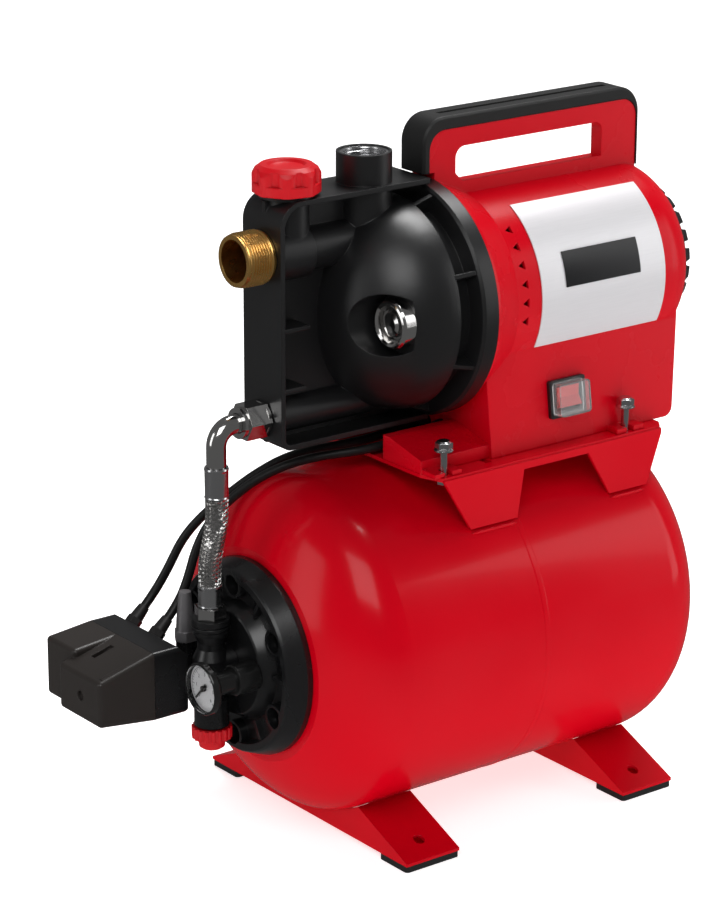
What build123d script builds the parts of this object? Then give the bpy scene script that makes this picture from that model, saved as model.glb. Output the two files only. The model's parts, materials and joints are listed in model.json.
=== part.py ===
from build123d import *
import os
from math import acos, atan2, cos, degrees, pi, radians, sin, tan

# Domestic waterworks: a jet pump on a horizontal pressure tank of 20 litres, all in millimetres.
# +X runs along the pump and the tank, from the suction side at -X to the motor fan at +X.
# The switch side faces -Y and +Z is up. The origin is on the floor, midway between the saddles.

# ---------------------------------------------------------------- driving dimensions
FIT = 0.04                # radial clearance of a shaft in its bore
GAP = 0.3                 # clearance between curved faces of separate pieces

TANK_R = 135.0
TANK_WALL = 2.0
TANK_Z = 150.7
TANK_FRONT = -133.3       # ends of the straight shell
TANK_REAR = 127.2
HEAD_DEPTH = 67.7
SEAT_X = -186.0           # pressed flat seat of the front flange
OPENING_R = 52.0

FLANGE_R = 78.0
FLANGE_FRONT = -206.0
HUB_R = 42.0
HUB_FRONT = -209.5
FLANGE_BOLT_R = 61.0
FLANGE_BOLTS = 6
PORT_Y = 34.0             # side ports on the flange hub, for the gauge and the pressure switch

SADDLE_X = 109.8
SADDLE_WIDTH = 51.4
SADDLE_HALF = 129.0       # half span of the feet across Y
PAD_INNER = 94.6
PAD_HEIGHT = 5.0
SHEET = 2.5
FOOT_BOLT_Y = 111.0
FOOT_HOLE_R = 4.5

PLATFORM_Z = 296.0        # top of the pump bracket
BRACKET_SHEET = 3.0
BRACKET_FRONT = -83.0
BRACKET_REAR = 149.0
BRACKET_HALF = 95.0
LEG_FOOT_Z = 250.0
BOLT_X = (-69.0, 113.5)
BOLT_Y = 85.6
BOLT_R = 3.0

PUMP_Z = 411.0            # pump and motor axis
RING_FRONT = -37.4        # clamping ring of the pump casing
RING_REAR = -23.3
RING_R = 93.5
DOME_X = -55.0
DOME_R = 84.0
DOME_DEPTH = 71.0
CASING_WALL = 4.0
FRAME_FRONT = -175.0      # belt frame round the pump dome
FRAME_HALF = 24.0
FRAME_TOP = 508.5
FRAME_BOTTOM = 318.0
SUCTION_Z = 465.0
HOSE_Z = 339.4
PORT_X = -80.0            # discharge port on top
CAP_X = -152.0            # filler cap on top
SIGHT_Y = -57.0           # round plug beside the dome
SIGHT_Z = 412.0

BARREL_R = 79.0
BARREL_END = 165.0
HOUSING_FRONT = -23.0
HOUSING_REAR = 192.6
REAR_R = 64.4
BOX_FRONT = -17.0
BOX_REAR = 168.0          # rear wall at the bottom; it leans back to BOX_REAR_TOP
BOX_REAR_TOP = 179.0
BOX_TOP_Z = 373.0         # where the sloped side walls leave the barrel
BOX_TOP_HALF = 70.0
BOX_HALF = 80.0
HOUSING_BOTTOM = 296.2
HOUSING_WALL = 3.0

HANDLE_FRONT = -28.4
HANDLE_REAR = 180.5
HANDLE_TOP = 541.0
HANDLE_HALF = 13.6
GRIP_FRONT = -34.4
GRIP_REAR = 183.4
GRIP_TOP = 551.0
GRIP_HALF = 14.5
GRIP_REAR_END = 486.8     # lower end of the grip over the barrel's shoulder

SHAFT_R = 7.0
MANIFOLD_X = -225.0
ELBOW_X = -218.0
CABLE_R = 3.6

CAP_PITCH = 3.0

# ---------------------------------------------------------------- planes and helpers
TANK_PLANE = Plane(origin=(0, 0, TANK_Z), x_dir=(1, 0, 0), z_dir=(0, -1, 0))
TANK_AXIS = Axis((0, 0, TANK_Z), (1, 0, 0))
ALONG = (Align.CENTER, Align.CENTER, Align.MIN)


def rod_x(x_from, x_to, radius, y, z, mode=Mode.ADD):
    """A cylinder along X."""
    with Locations((x_from, y, z)):
        Cylinder(radius, x_to - x_from, rotation=(0, 90, 0), align=ALONG, mode=mode)


def rod_z(z_from, z_to, radius, x, y, mode=Mode.ADD):
    """A cylinder along Z."""
    with Locations((x, y, z_from)):
        Cylinder(radius, z_to - z_from, align=ALONG, mode=mode)


def block(x_span, y_span, z_span, mode=Mode.ADD):
    """A box between two coordinates on each axis."""
    with Locations((x_span[0], y_span[0], z_span[0])):
        Box(
            x_span[1] - x_span[0],
            y_span[1] - y_span[0],
            z_span[1] - z_span[0],
            align=(Align.MIN, Align.MIN, Align.MIN),
            mode=mode,
        )


def turned_x(points, z, y=0.0, mode=Mode.ADD):
    """A solid turned about a line along X; points are (X, radius)."""
    with BuildSketch(Plane(origin=(0, y, z), x_dir=(1, 0, 0), z_dir=(0, -1, 0))) as outline:
        with BuildLine():
            Polyline(*points, close=True)
        make_face()
    revolve(outline.sketch, Axis((0, y, z), (1, 0, 0)), mode=mode)


def turned_z(points, x, y=0.0, mode=Mode.ADD):
    """A solid turned about a vertical line; points are (radius, Z)."""
    with BuildSketch(Plane(origin=(x, y, 0), x_dir=(1, 0, 0), z_dir=(0, -1, 0))) as outline:
        with BuildLine():
            Polyline(*points, close=True)
        make_face()
    revolve(outline.sketch, Axis((x, y, 0), (0, 0, 1)), mode=mode)


def hex_x(x_from, x_to, across_flats, y, z, turn=0.0, mode=Mode.ADD):
    """A hexagonal bar along X."""
    with BuildSketch(Plane(origin=(x_from, y, z), x_dir=(0, 1, 0), z_dir=(1, 0, 0))) as outline:
        RegularPolygon(across_flats / 2, 6, major_radius=False, rotation=turn)
    extrude(outline.sketch, amount=x_to - x_from, mode=mode)


def hex_z(z_from, z_to, across_flats, x, y, turn=0.0, mode=Mode.ADD):
    """A hexagonal bar along Z."""
    with BuildSketch(Plane(origin=(x, y, z_from))) as outline:
        RegularPolygon(across_flats / 2, 6, major_radius=False, rotation=turn)
    extrude(outline.sketch, amount=z_to - z_from, mode=mode)


def side_plate(points, y_from, y_to, mode=Mode.ADD):
    """A plate with an (X, Z) outline, standing between two Y coordinates."""
    with BuildSketch(Plane.XZ.offset(-y_to)) as outline:
        with BuildLine():
            Polyline(*points, close=True)
        make_face()
    extrude(outline.sketch, amount=y_to - y_from, mode=mode)


def cross_plate(points, x_from, x_to, mode=Mode.ADD):
    """A solid with a (Y, Z) outline between two X coordinates."""
    with BuildSketch(Plane(origin=(x_from, 0, 0), x_dir=(0, 1, 0), z_dir=(1, 0, 0))) as outline:
        with BuildLine():
            Polyline(*points, close=True)
        make_face()
    extrude(outline.sketch, amount=x_to - x_from, mode=mode)


def tank_solid(shrink):
    """The tank's outer form, moved inwards by shrink: straight shell, elliptical heads, flat seat."""
    radius = TANK_R - shrink
    depth = HEAD_DEPTH - shrink
    seat = SEAT_X + shrink
    seat_angle = degrees(acos((seat - TANK_FRONT) / depth))
    with BuildPart() as solid:
        with BuildSketch(TANK_PLANE):
            with BuildLine():
                front = EllipticalCenterArc((TANK_FRONT, 0), depth, radius, 90, arc_size=seat_angle - 90)
                rear = EllipticalCenterArc((TANK_REAR, 0), depth, radius, 0, arc_size=90)
                Line(front @ 0, rear @ 1)
                Line(rear @ 0, (seat, 0))
                Line((seat, 0), front @ 1)
            make_face()
        revolve(axis=TANK_AXIS)
    return solid.part


def on_circle(radius, count, start=0.0):
    """Y and Z offsets of evenly spaced places on a circle about a line along X."""
    steps = [radians(start + 360.0 * i / count) for i in range(count)]
    return [(radius * cos(a), radius * sin(a)) for a in steps]


def save(piece, name):
    """Label a finished piece and write it as parts/name.step."""
    piece.part.label = name
    export_step(piece.part, f"parts/{name}.step")


os.makedirs("parts", exist_ok=True)

# ---------------------------------------------------------------- tank
FLANGE_BOLT_PLACES = on_circle(FLANGE_BOLT_R, FLANGE_BOLTS, start=30.0)
TANK_END = TANK_REAR + HEAD_DEPTH
SEAM_X = (TANK_FRONT + TANK_REAR) / 2
VALVE_R = 4.0

with BuildPart() as tank_shell:
    add(tank_solid(0.0))
    turned_x(
        [
            (SEAM_X - 4, TANK_R - 0.5), (SEAM_X - 2, TANK_R + 0.3), (SEAM_X + 2, TANK_R + 0.3),
            (SEAM_X + 4, TANK_R - 0.5),
        ],
        TANK_Z,
    )
    add(tank_solid(TANK_WALL), mode=Mode.SUBTRACT)
    rod_x(SEAT_X - 1, SEAT_X + 10, OPENING_R, 0, TANK_Z, mode=Mode.SUBTRACT)
    rod_x(TANK_END - 10, TANK_END + 1, VALVE_R + GAP, 0, TANK_Z, mode=Mode.SUBTRACT)
    for dy, dz in FLANGE_BOLT_PLACES:
        rod_x(SEAT_X - 1, SEAT_X + 6, 3.2, dy, TANK_Z + dz, mode=Mode.SUBTRACT)
save(tank_shell, "tank_shell")

# The rubber bag hangs inside the shell; its neck is held in the flange's opening.
MEMBRANE_GAP = 16.0
MEMBRANE_WALL = 2.0
NECK_R = 47.0

with BuildPart() as tank_membrane:
    add(tank_solid(MEMBRANE_GAP))
    rod_x(SEAT_X + 0.2, SEAT_X + MEMBRANE_GAP + 1, NECK_R, 0, TANK_Z)
    add(tank_solid(MEMBRANE_GAP + MEMBRANE_WALL), mode=Mode.SUBTRACT)
    rod_x(SEAT_X, SEAT_X + MEMBRANE_GAP + 4, NECK_R - MEMBRANE_WALL, 0, TANK_Z, mode=Mode.SUBTRACT)
save(tank_membrane, "tank_membrane")

FACE_X = -198.0           # recessed face between the flange's rim and its hub
SPIGOT_R = NECK_R - MEMBRANE_WALL - GAP
FLOW_R = 13.0

with BuildPart() as tank_flange:
    turned_x(
        [
            (FLANGE_FRONT, 66.0), (FLANGE_FRONT, 71.5), (FLANGE_FRONT + 2, 73.0), (-191.0, FLANGE_R),
            (SEAT_X, FLANGE_R), (SEAT_X, SPIGOT_R), (SEAT_X + 8, SPIGOT_R), (SEAT_X + 8, FLOW_R),
            (HUB_FRONT, FLOW_R), (HUB_FRONT, HUB_R - 1), (HUB_FRONT + 1, HUB_R), (FACE_X, HUB_R + 6),
            (FACE_X, 64.0),
        ],
        TANK_Z,
    )
    for dy, dz in on_circle(57.0, 12, start=0.0)[::2]:
        turn = degrees(atan2(dz, dy))
        with Locations(Location((FACE_X - 2.5, dy, TANK_Z + dz), (turn, 0, 0))):
            Box(5.0, 16.0, 3.0)
    for dy, dz in FLANGE_BOLT_PLACES:
        rod_x(FLANGE_FRONT + 1, SEAT_X, 10.5, dy, TANK_Z + dz)
        rod_x(FLANGE_FRONT, -192.0, 8.2, dy, TANK_Z + dz, mode=Mode.SUBTRACT)
        rod_x(-193.0, SEAT_X + 1, 3.2, dy, TANK_Z + dz, mode=Mode.SUBTRACT)
    for side in (-1, 1):
        rod_x(HUB_FRONT - 1, SEAT_X + 8, 5.0, side * PORT_Y, TANK_Z, mode=Mode.SUBTRACT)
save(tank_flange, "tank_flange")

with BuildPart() as flange_bolts:
    for dy, dz in FLANGE_BOLT_PLACES:
        hex_x(-196.0, -192.0, 10.0, dy, TANK_Z + dz, turn=degrees(atan2(dz, dy)))
        rod_x(-192.0, SEAT_X + 4, 3.0, dy, TANK_Z + dz)
        hex_x(SEAT_X + TANK_WALL, SEAT_X + 7, 10.0, dy, TANK_Z + dz, turn=degrees(atan2(dz, dy)))
save(flange_bolts, "flange_bolts")

with BuildPart() as air_valve:
    rod_x(TANK_END - 7, TANK_END + 18, VALVE_R, 0, TANK_Z)
    hex_x(TANK_END + 0.4, TANK_END + 4, 14.0, 0, TANK_Z)
save(air_valve, "air_valve")

COVER_R = 27.0
with BuildPart() as air_valve_cover:
    turned_x(
        [
            (TANK_END - 0.8, COVER_R), (TANK_END + 15, COVER_R - 3), (TANK_END + 21, COVER_R - 9),
            (TANK_END + 21, 0), (TANK_END + 18.5, 0), (TANK_END + 18.5, COVER_R - 10),
            (TANK_END + 13.5, COVER_R - 5.5), (TANK_END - 0.8, COVER_R - 2.5),
        ],
        TANK_Z,
    )
save(air_valve_cover, "air_valve_cover")

# ---------------------------------------------------------------- saddles and feet
SLOPE_TOP_Y = 64.0
SLOPE = 0.42              # rise of the leg's sheet over its run


def slope_z(y, drop):
    """Height of the leg's sloped sheet at a distance y from the middle, drop below its top face."""
    return PAD_HEIGHT + SHEET + SLOPE * (SADDLE_HALF - y) - drop


def saddle(x_middle):
    """Pressed steel saddle: two sloped legs, end webs that follow the tank, and foot plates."""
    x_from = x_middle - SADDLE_WIDTH / 2
    x_to = x_middle + SADDLE_WIDTH / 2
    top_z = slope_z(SLOPE_TOP_Y, 0.0)
    outer = [
        (-SADDLE_HALF, PAD_HEIGHT), (-SADDLE_HALF, PAD_HEIGHT + SHEET), (-SLOPE_TOP_Y, top_z),
        (SLOPE_TOP_Y, top_z), (SADDLE_HALF, PAD_HEIGHT + SHEET), (SADDLE_HALF, PAD_HEIGHT),
    ]
    floor = PAD_HEIGHT + SHEET
    low_y = SADDLE_HALF - 1.1 * SHEET / SLOPE
    pocket_top = slope_z(SLOPE_TOP_Y, 1.1 * SHEET)
    pocket = [(-low_y, floor), (-SLOPE_TOP_Y, pocket_top), (SLOPE_TOP_Y, pocket_top), (low_y, floor)]
    with BuildPart() as body:
        cross_plate(outer, x_from, x_to)
        cross_plate(pocket, x_from + SHEET, x_to - SHEET, mode=Mode.SUBTRACT)
        block((x_from + SHEET, x_to - SHEET), (-PAD_INNER, PAD_INNER), (0, floor + 1), mode=Mode.SUBTRACT)
        rod_x(x_from - 1, x_to + 1, TANK_R + 0.15, 0, TANK_Z, mode=Mode.SUBTRACT)
        for side in (-1, 1):
            rod_z(0, 40, FOOT_HOLE_R, x_middle, side * FOOT_BOLT_Y, mode=Mode.SUBTRACT)
    return body


front_saddle = saddle(-SADDLE_X)
save(front_saddle, "front_saddle")
rear_saddle = saddle(SADDLE_X)
save(rear_saddle, "rear_saddle")

with BuildPart() as foot_pads:
    for x in (-SADDLE_X, SADDLE_X):
        for side in (-1, 1):
            y_middle = side * (PAD_INNER + SADDLE_HALF) / 2
            with BuildSketch(Plane.XY) as pad:
                with Locations((x, y_middle)):
                    RectangleRounded(SADDLE_WIDTH, SADDLE_HALF - PAD_INNER, 3)
                with Locations((x, side * FOOT_BOLT_Y)):
                    Circle(FOOT_HOLE_R, mode=Mode.SUBTRACT)
            extrude(pad.sketch, amount=PAD_HEIGHT)
save(foot_pads, "foot_pads")

# ---------------------------------------------------------------- bracket between tank and pump
LEG_OUTLINE = [
    (-76.0, PLATFORM_Z - 2), (-49.0, LEG_FOOT_Z), (-3.0, LEG_FOOT_Z), (3.0, 288.0),
    (68.0, 288.0), (91.0, LEG_FOOT_Z), (130.0, LEG_FOOT_Z), (144.0, PLATFORM_Z - 6), (144.0, PLATFORM_Z - 2),
]
PLATFORM_OUTLINE = [
    (BRACKET_FRONT, -74.0), (-76.0, -BRACKET_HALF + 1), (BRACKET_REAR - 6, -BRACKET_HALF + 1),
    (BRACKET_REAR, -BRACKET_HALF + 9), (BRACKET_REAR, BRACKET_HALF - 9), (BRACKET_REAR - 6, BRACKET_HALF - 1),
    (-76.0, BRACKET_HALF - 1), (BRACKET_FRONT, 74.0),
]

with BuildPart() as pump_bracket:
    with BuildSketch(Plane.XY.offset(PLATFORM_Z - BRACKET_SHEET)) as platform:
        with BuildLine():
            Polyline(*PLATFORM_OUTLINE, close=True)
        make_face()
        with Locations(*[(x, side * BOLT_Y) for x in BOLT_X for side in (-1, 1)]):
            Circle(BOLT_R + 0.4, mode=Mode.SUBTRACT)
        with Locations((-23.0, -78.0), (-23.0, 78.0)):
            Rectangle(6, 12, mode=Mode.SUBTRACT)
        with Locations((36.0, 0)):
            RectangleRounded(90, 70, 12, mode=Mode.SUBTRACT)
    extrude(platform.sketch, amount=BRACKET_SHEET)
    side_plate(LEG_OUTLINE, -BRACKET_HALF, -BRACKET_HALF + BRACKET_SHEET)
    side_plate(LEG_OUTLINE, BRACKET_HALF - BRACKET_SHEET, BRACKET_HALF)
save(pump_bracket, "pump_bracket")

BOLT_HEAD_Z = 315.0

with BuildPart() as bracket_bolts:
    for x in BOLT_X:
        for side in (-1, 1):
            y = side * BOLT_Y
            turned_z(
                [
                    (0, PLATFORM_Z - 8), (BOLT_R, PLATFORM_Z - 8), (BOLT_R, BOLT_HEAD_Z), (7.6, BOLT_HEAD_Z),
                    (7.6, BOLT_HEAD_Z + 1), (6, BOLT_HEAD_Z + 2.6), (0, BOLT_HEAD_Z + 2.6),
                ],
                x, y,
            )
            with BuildPart(mode=Mode.PRIVATE) as head:
                hex_z(BOLT_HEAD_Z + 2, BOLT_HEAD_Z + 8, 12.0, x, y, turn=20.0)
                turned_z(
                    [
                        (0, BOLT_HEAD_Z), (8, BOLT_HEAD_Z), (8, BOLT_HEAD_Z + 5.5), (4.5, BOLT_HEAD_Z + 8),
                        (0, BOLT_HEAD_Z + 8),
                    ],
                    x, y, mode=Mode.INTERSECT,
                )
            add(head.part)
save(bracket_bolts, "bracket_bolts")

with BuildPart() as bracket_nuts:
    for x in BOLT_X:
        for side in (-1, 1):
            y = side * BOLT_Y
            hex_z(PLATFORM_Z - 7, PLATFORM_Z - BRACKET_SHEET, 10.0, x, y)
            rod_z(PLATFORM_Z - 10, PLATFORM_Z, BOLT_R + FIT, x, y, mode=Mode.SUBTRACT)
save(bracket_nuts, "bracket_nuts")

# ---------------------------------------------------------------- pump casing
CORE_R = 76.0             # waist between the dome's lip and the clamping ring
CORE_INNER = 72.0
SUCTION_R = 21.5
DISCHARGE_R = 21.3
DISCHARGE_TOP = 532.0
NECK_OUTER = 17.0
CAP_BOTTOM = 511.0
SUCTION_STEP = -140.0      # where the suction pipe gets thinner
INSERT_END = -149.8       # inner end of the brass insert's seat
WEB_HALF = 2.0
SIGHT_POCKET_R = 24.0
SIGHT_FLOOR = -88.0
G1_FEMALE_R = 15.15       # minor radius of the G1 female thread
G114_MALE_R = 20.95       # major radius of the G1 1/4 male thread


def dome(radius, depth):
    """Half ellipsoid that bulges to -X from the plane of the dome's lip, with a small flat on its tip."""
    with BuildPart() as solid:
        with BuildSketch(Plane(origin=(0, 0, PUMP_Z), x_dir=(1, 0, 0), z_dir=(0, -1, 0))):
            with BuildLine():
                arc = EllipticalCenterArc((DOME_X, 0), depth, radius, 90, arc_size=88.5)
                Polyline(
                    arc @ 1, ((arc @ 1).X, 0), (RING_FRONT, 0), (RING_FRONT, CORE_R - 1), (DOME_X, CORE_R - 1), arc @ 0
                )
            make_face()
        revolve(axis=Axis((0, 0, PUMP_Z), (1, 0, 0)))
    return solid.part


RIB_ANGLES = (72, 24, -25, -73)

with BuildPart() as pump_casing:
    add(dome(DOME_R, DOME_DEPTH))
    turned_x(
        [
            (DOME_X, 0), (DOME_X, DOME_R), (DOME_X + 3, DOME_R), (DOME_X + 3, CORE_R), (RING_FRONT, CORE_R),
            (RING_FRONT, RING_R - 2), (RING_FRONT + 2, RING_R), (RING_REAR, RING_R), (RING_REAR, 0),
        ],
        PUMP_Z,
    )
    # radial ribs between the dome's lip and the ring, on both sides
    for angle in RIB_ANGLES:
        for side in (-1, 1):
            place = Location((0, 0, PUMP_Z), (side * (angle - 90), 0, 0))
            with BuildSketch(Plane.XZ.offset(-1.75)) as rib:
                with BuildLine():
                    Polyline(
                        (DOME_X + 2, 74), (DOME_X + 2, DOME_R), (RING_FRONT + 1, RING_R - 3),
                        (RING_FRONT + 1, 74), close=True,
                    )
                make_face()
            with BuildPart(mode=Mode.PRIVATE) as rib_plate:
                extrude(rib.sketch, amount=3.5)
            add(rib_plate.part.moved(place))
    # belt frame: front, top and bottom walls, open at both sides
    with BuildSketch(Plane.XZ.offset(-FRAME_HALF)) as belt:
        with BuildLine():
            FilletPolyline(
                (RING_FRONT + 2, FRAME_TOP), (FRAME_FRONT, FRAME_TOP), (FRAME_FRONT, FRAME_BOTTOM),
                (RING_FRONT + 2, FRAME_BOTTOM), radius=[20, 9],
            )
            Line((RING_FRONT + 2, FRAME_BOTTOM), (RING_FRONT + 2, FRAME_TOP))
        make_face()
        with BuildLine() as inner:
            FilletPolyline(
                (RING_FRONT + 3, FRAME_TOP - 4), (FRAME_FRONT + 4, FRAME_TOP - 4),
                (FRAME_FRONT + 4, FRAME_BOTTOM + 4), (RING_FRONT + 3, FRAME_BOTTOM + 4), radius=[16, 5],
            )
            Line((RING_FRONT + 3, FRAME_BOTTOM + 4), (RING_FRONT + 3, FRAME_TOP - 4))
        make_face(inner.edges(), mode=Mode.SUBTRACT)
    extrude(belt.sketch, amount=2 * FRAME_HALF)
    # suction pipe, filler neck, hose port and discharge port
    rod_x(FRAME_FRONT, SUCTION_STEP, SUCTION_R, 0, SUCTION_Z)
    rod_x(SUCTION_STEP, -70.0, SUCTION_R - 4, 0, SUCTION_Z)
    rod_z(SUCTION_Z, CAP_BOTTOM + 8, NECK_OUTER, CAP_X, 0)
    rod_z(FRAME_TOP - 1, CAP_BOTTOM - 0.5, 21.0, CAP_X, 0)
    rod_x(FRAME_FRONT, -80.0, 14.0, 0, HOSE_Z)
    rod_x(-196.0, FRAME_FRONT + 1, 10.2, 0, HOSE_Z)
    rod_z(470.0, DISCHARGE_TOP, DISCHARGE_R, PORT_X, 0)
    # upright web in the middle of the frame, a gusset under the top wall and ribs behind the front wall
    block((FRAME_FRONT + 2, DOME_X), (-WEB_HALF, WEB_HALF), (FRAME_BOTTOM + 2, FRAME_TOP - 2))
    side_plate([(-128, 481), (-91, 482), (-117, 449)], -3.5, 3.5)
    for z, reach in ((411.0, -148.0), (364.5, -152.0)):
        block((FRAME_FRONT + 2, reach), (-FRAME_HALF + 0.5, FRAME_HALF - 0.5), (z - 1.5, z + 1.5))
    # water spaces
    add(dome(DOME_R - CASING_WALL, DOME_DEPTH - CASING_WALL), mode=Mode.SUBTRACT)
    rod_x(DOME_X - 1, RING_REAR + 1, CORE_INNER, 0, PUMP_Z, mode=Mode.SUBTRACT)
    rod_x(FRAME_FRONT - 1, INSERT_END, 18.0, 0, SUCTION_Z, mode=Mode.SUBTRACT)
    rod_x(INSERT_END - 1, -95.0, 13.5, 0, SUCTION_Z, mode=Mode.SUBTRACT)
    rod_z(SUCTION_Z, CAP_BOTTOM + 9, 12.0, CAP_X, 0, mode=Mode.SUBTRACT)
    rod_x(-197.0, -90.0, 7.0, 0, HOSE_Z, mode=Mode.SUBTRACT)
    rod_z(465.0, DISCHARGE_TOP - 22, 13.0, PORT_X, 0, mode=Mode.SUBTRACT)
    rod_z(DISCHARGE_TOP - 22, DISCHARGE_TOP + 1, 19.0, PORT_X, 0, mode=Mode.SUBTRACT)
    # round pocket of the sight plug, sunk into the dome
    with BuildPart(mode=Mode.PRIVATE) as pocket:
        rod_x(-140.0, SIGHT_FLOOR + 4, SIGHT_POCKET_R + 3.5, SIGHT_Y, SIGHT_Z)
        add(dome(DOME_R, DOME_DEPTH), mode=Mode.INTERSECT)
    add(pocket.part)
    rod_x(SIGHT_FLOOR, SIGHT_FLOOR + 12, 14.0, SIGHT_Y, SIGHT_Z)
    rod_x(-140.0, SIGHT_FLOOR, SIGHT_POCKET_R, SIGHT_Y, SIGHT_Z, mode=Mode.SUBTRACT)
    rod_x(-100.0, -70.0, 10.3, SIGHT_Y, SIGHT_Z, mode=Mode.SUBTRACT)
save(pump_casing, "pump_casing")

with BuildPart() as suction_insert:
    turned_x(
        [
            (-200.4, 16.0), (-200.4, 19.6), (-199.0, G114_MALE_R), (FRAME_FRONT, G114_MALE_R),
            (FRAME_FRONT, 17.9), (-150.0, 17.9), (-150.0, 16.0),
        ],
        SUCTION_Z,
    )
save(suction_insert, "suction_insert")

with BuildPart() as discharge_insert:
    turned_z(
        [
            (G1_FEMALE_R, DISCHARGE_TOP - 21.8), (18.9, DISCHARGE_TOP - 21.8), (18.9, DISCHARGE_TOP - 1),
            (16.5, DISCHARGE_TOP - 1), (G1_FEMALE_R, DISCHARGE_TOP - 2.4),
        ],
        PORT_X,
    )
save(discharge_insert, "discharge_insert")

with BuildPart() as sight_plug:
    turned_x(
        [
            (-72.0, 0), (-72.0, 10.0), (SIGHT_FLOOR, 10.0), (SIGHT_FLOOR, 18.6), (-97.5, 19.2), (-99.5, 18.2),
            (-100.2, 16.6), (-99.0, 14.6), (-94.5, 13.4), (-94.5, 10.2), (-97.6, 9.2), (-98.6, 6.0), (-99.0, 0),
        ],
        SIGHT_Z, SIGHT_Y,
    )
save(sight_plug, "sight_plug")

# ---------------------------------------------------------------- screw caps
CAP_R = 25.5
CAP_TOP = 532.0
CAP_RING = 8.0            # height of the smooth ring round the cap's mouth
CAP_LOBES = 8

with BuildPart() as filler_cap:
    with BuildSketch(Plane.XY.offset(CAP_BOTTOM)) as lobed:
        with Locations((CAP_X, 0)):
            Circle(CAP_R - 2.6)
            with PolarLocations(CAP_R - 7.6, CAP_LOBES, start_angle=10):
                Circle(8.0)
    extrude(lobed.sketch, amount=CAP_TOP - CAP_BOTTOM)
    # the turned outline: ring, chamfered top and a dished middle
    turned_z(
        [
            (0, CAP_TOP - 2), (13.0, CAP_TOP - 2), (15.0, CAP_TOP), (CAP_R - 5.5, CAP_TOP), (CAP_R - 1.5, CAP_TOP - 3),
            (CAP_R + 0.6, CAP_TOP - 7), (CAP_R + 0.6, CAP_BOTTOM), (0, CAP_BOTTOM),
        ],
        CAP_X, mode=Mode.INTERSECT,
    )
    turned_z(
        [
            (0, CAP_BOTTOM), (CAP_R - 0.8, CAP_BOTTOM), (CAP_R, CAP_BOTTOM + 0.8), (CAP_R, CAP_BOTTOM + CAP_RING - 0.6),
            (CAP_R - 0.6, CAP_BOTTOM + CAP_RING), (0, CAP_BOTTOM + CAP_RING),
        ],
        CAP_X,
    )
    rod_z(CAP_BOTTOM - 1, CAP_BOTTOM + 11.2, NECK_OUTER + 0.6, CAP_X, 0, mode=Mode.SUBTRACT)
save(filler_cap, "filler_cap")

with BuildPart() as filler_seal:
    turned_z(
        [
            (12.5, CAP_BOTTOM + 8.2), (16.6, CAP_BOTTOM + 8.2), (16.6, CAP_BOTTOM + 11.0), (12.5, CAP_BOTTOM + 11.0),
        ],
        CAP_X,
    )
save(filler_seal, "filler_seal")

# ---------------------------------------------------------------- hydraulics inside the casing
with BuildPart() as diffuser:
    turned_x(
        [
            (-66.0, 14.0), (-66.0, 66.0), (-40.5, 70.0), (-40.5, 67.5), (-58.0, 62.0), (-62.0, 58.0),
            (-62.0, 14.0),
        ],
        PUMP_Z,
    )
    for dy, dz in on_circle(64.0, 8):
        with Locations(Location((-64.0, 0.62 * dy, PUMP_Z + 0.62 * dz), (degrees(atan2(dz, dy)) + 35, 0, 0))):
            Box(3.0, 30.0, 3.0)
save(diffuser, "diffuser")

with BuildPart() as jet_nozzle:
    turned_x(
        [
            (-110.0, 6.0), (-110.0, 13.0), (-104.0, 13.0), (-96.0, 8.0), (-70.0, 12.5), (-66.2, 13.2),
            (-66.2, 10.0), (-72.0, 9.5), (-96.0, 4.0), (-104.0, 6.0),
        ],
        PUMP_Z,
    )
save(jet_nozzle, "jet_nozzle")

IMPELLER_VANES = 6
with BuildPart() as impeller:
    turned_x(
        [
            (-43.0, SHAFT_R + FIT), (-43.0, 55.0), (-46.0, 55.0), (-46.0, 12.0), (-60.0, 12.0),
            (-60.0, SHAFT_R + FIT),
        ],
        PUMP_Z,
    )
    turned_x([(-56.0, 22.0), (-56.0, 26.0), (-52.0, 55.0), (-50.0, 55.0), (-54.0, 24.0), (-54.0, 22.0)], PUMP_Z)
    for dy, dz in on_circle(34.0, IMPELLER_VANES):
        with Locations(Location((-49.0, dy, PUMP_Z + dz), (degrees(atan2(dz, dy)) + 38, 0, 0))):
            Box(9.0, 34.0, 2.2)
save(impeller, "impeller")

with BuildPart() as mechanical_seal:
    turned_x(
        [
            (-42.0, SHAFT_R + 0.08), (-42.0, 11.0), (-39.0, 11.0), (-39.0, 14.0), (-31.0, 14.0),
            (-31.0, SHAFT_R + 0.08),
        ],
        PUMP_Z,
    )
save(mechanical_seal, "mechanical_seal")

with BuildPart() as pump_back_plate:
    turned_x(
        [
            (-38.5, 14.3), (-38.5, CORE_INNER - 1.0), (-34.0, CORE_INNER - 1.0), (-34.0, CORE_INNER - 0.3),
            (-24.0, CORE_INNER - 0.3), (-24.0, CORE_INNER - 6), (-31.0, CORE_INNER - 6), (-31.0, 14.3),
        ],
        PUMP_Z,
    )
save(pump_back_plate, "pump_back_plate")

# ---------------------------------------------------------------- motor
BEARING_OUTER = 17.5
BEARING_WIDTH = 11.0
FRONT_BEARING_X = 0.0
REAR_BEARING_X = 150.0

with BuildPart() as motor_shaft:
    turned_x(
        [
            (-62.0, 0), (-62.0, 5.0), (-60.5, SHAFT_R), (FRONT_BEARING_X + BEARING_WIDTH, SHAFT_R),
            (FRONT_BEARING_X + BEARING_WIDTH, 9.0), (45.0, 9.0), (45.0, SHAFT_R), (186.0, SHAFT_R), (187.0, 6.0),
            (187.0, 0),
        ],
        PUMP_Z,
    )
save(motor_shaft, "motor_shaft")

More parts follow.
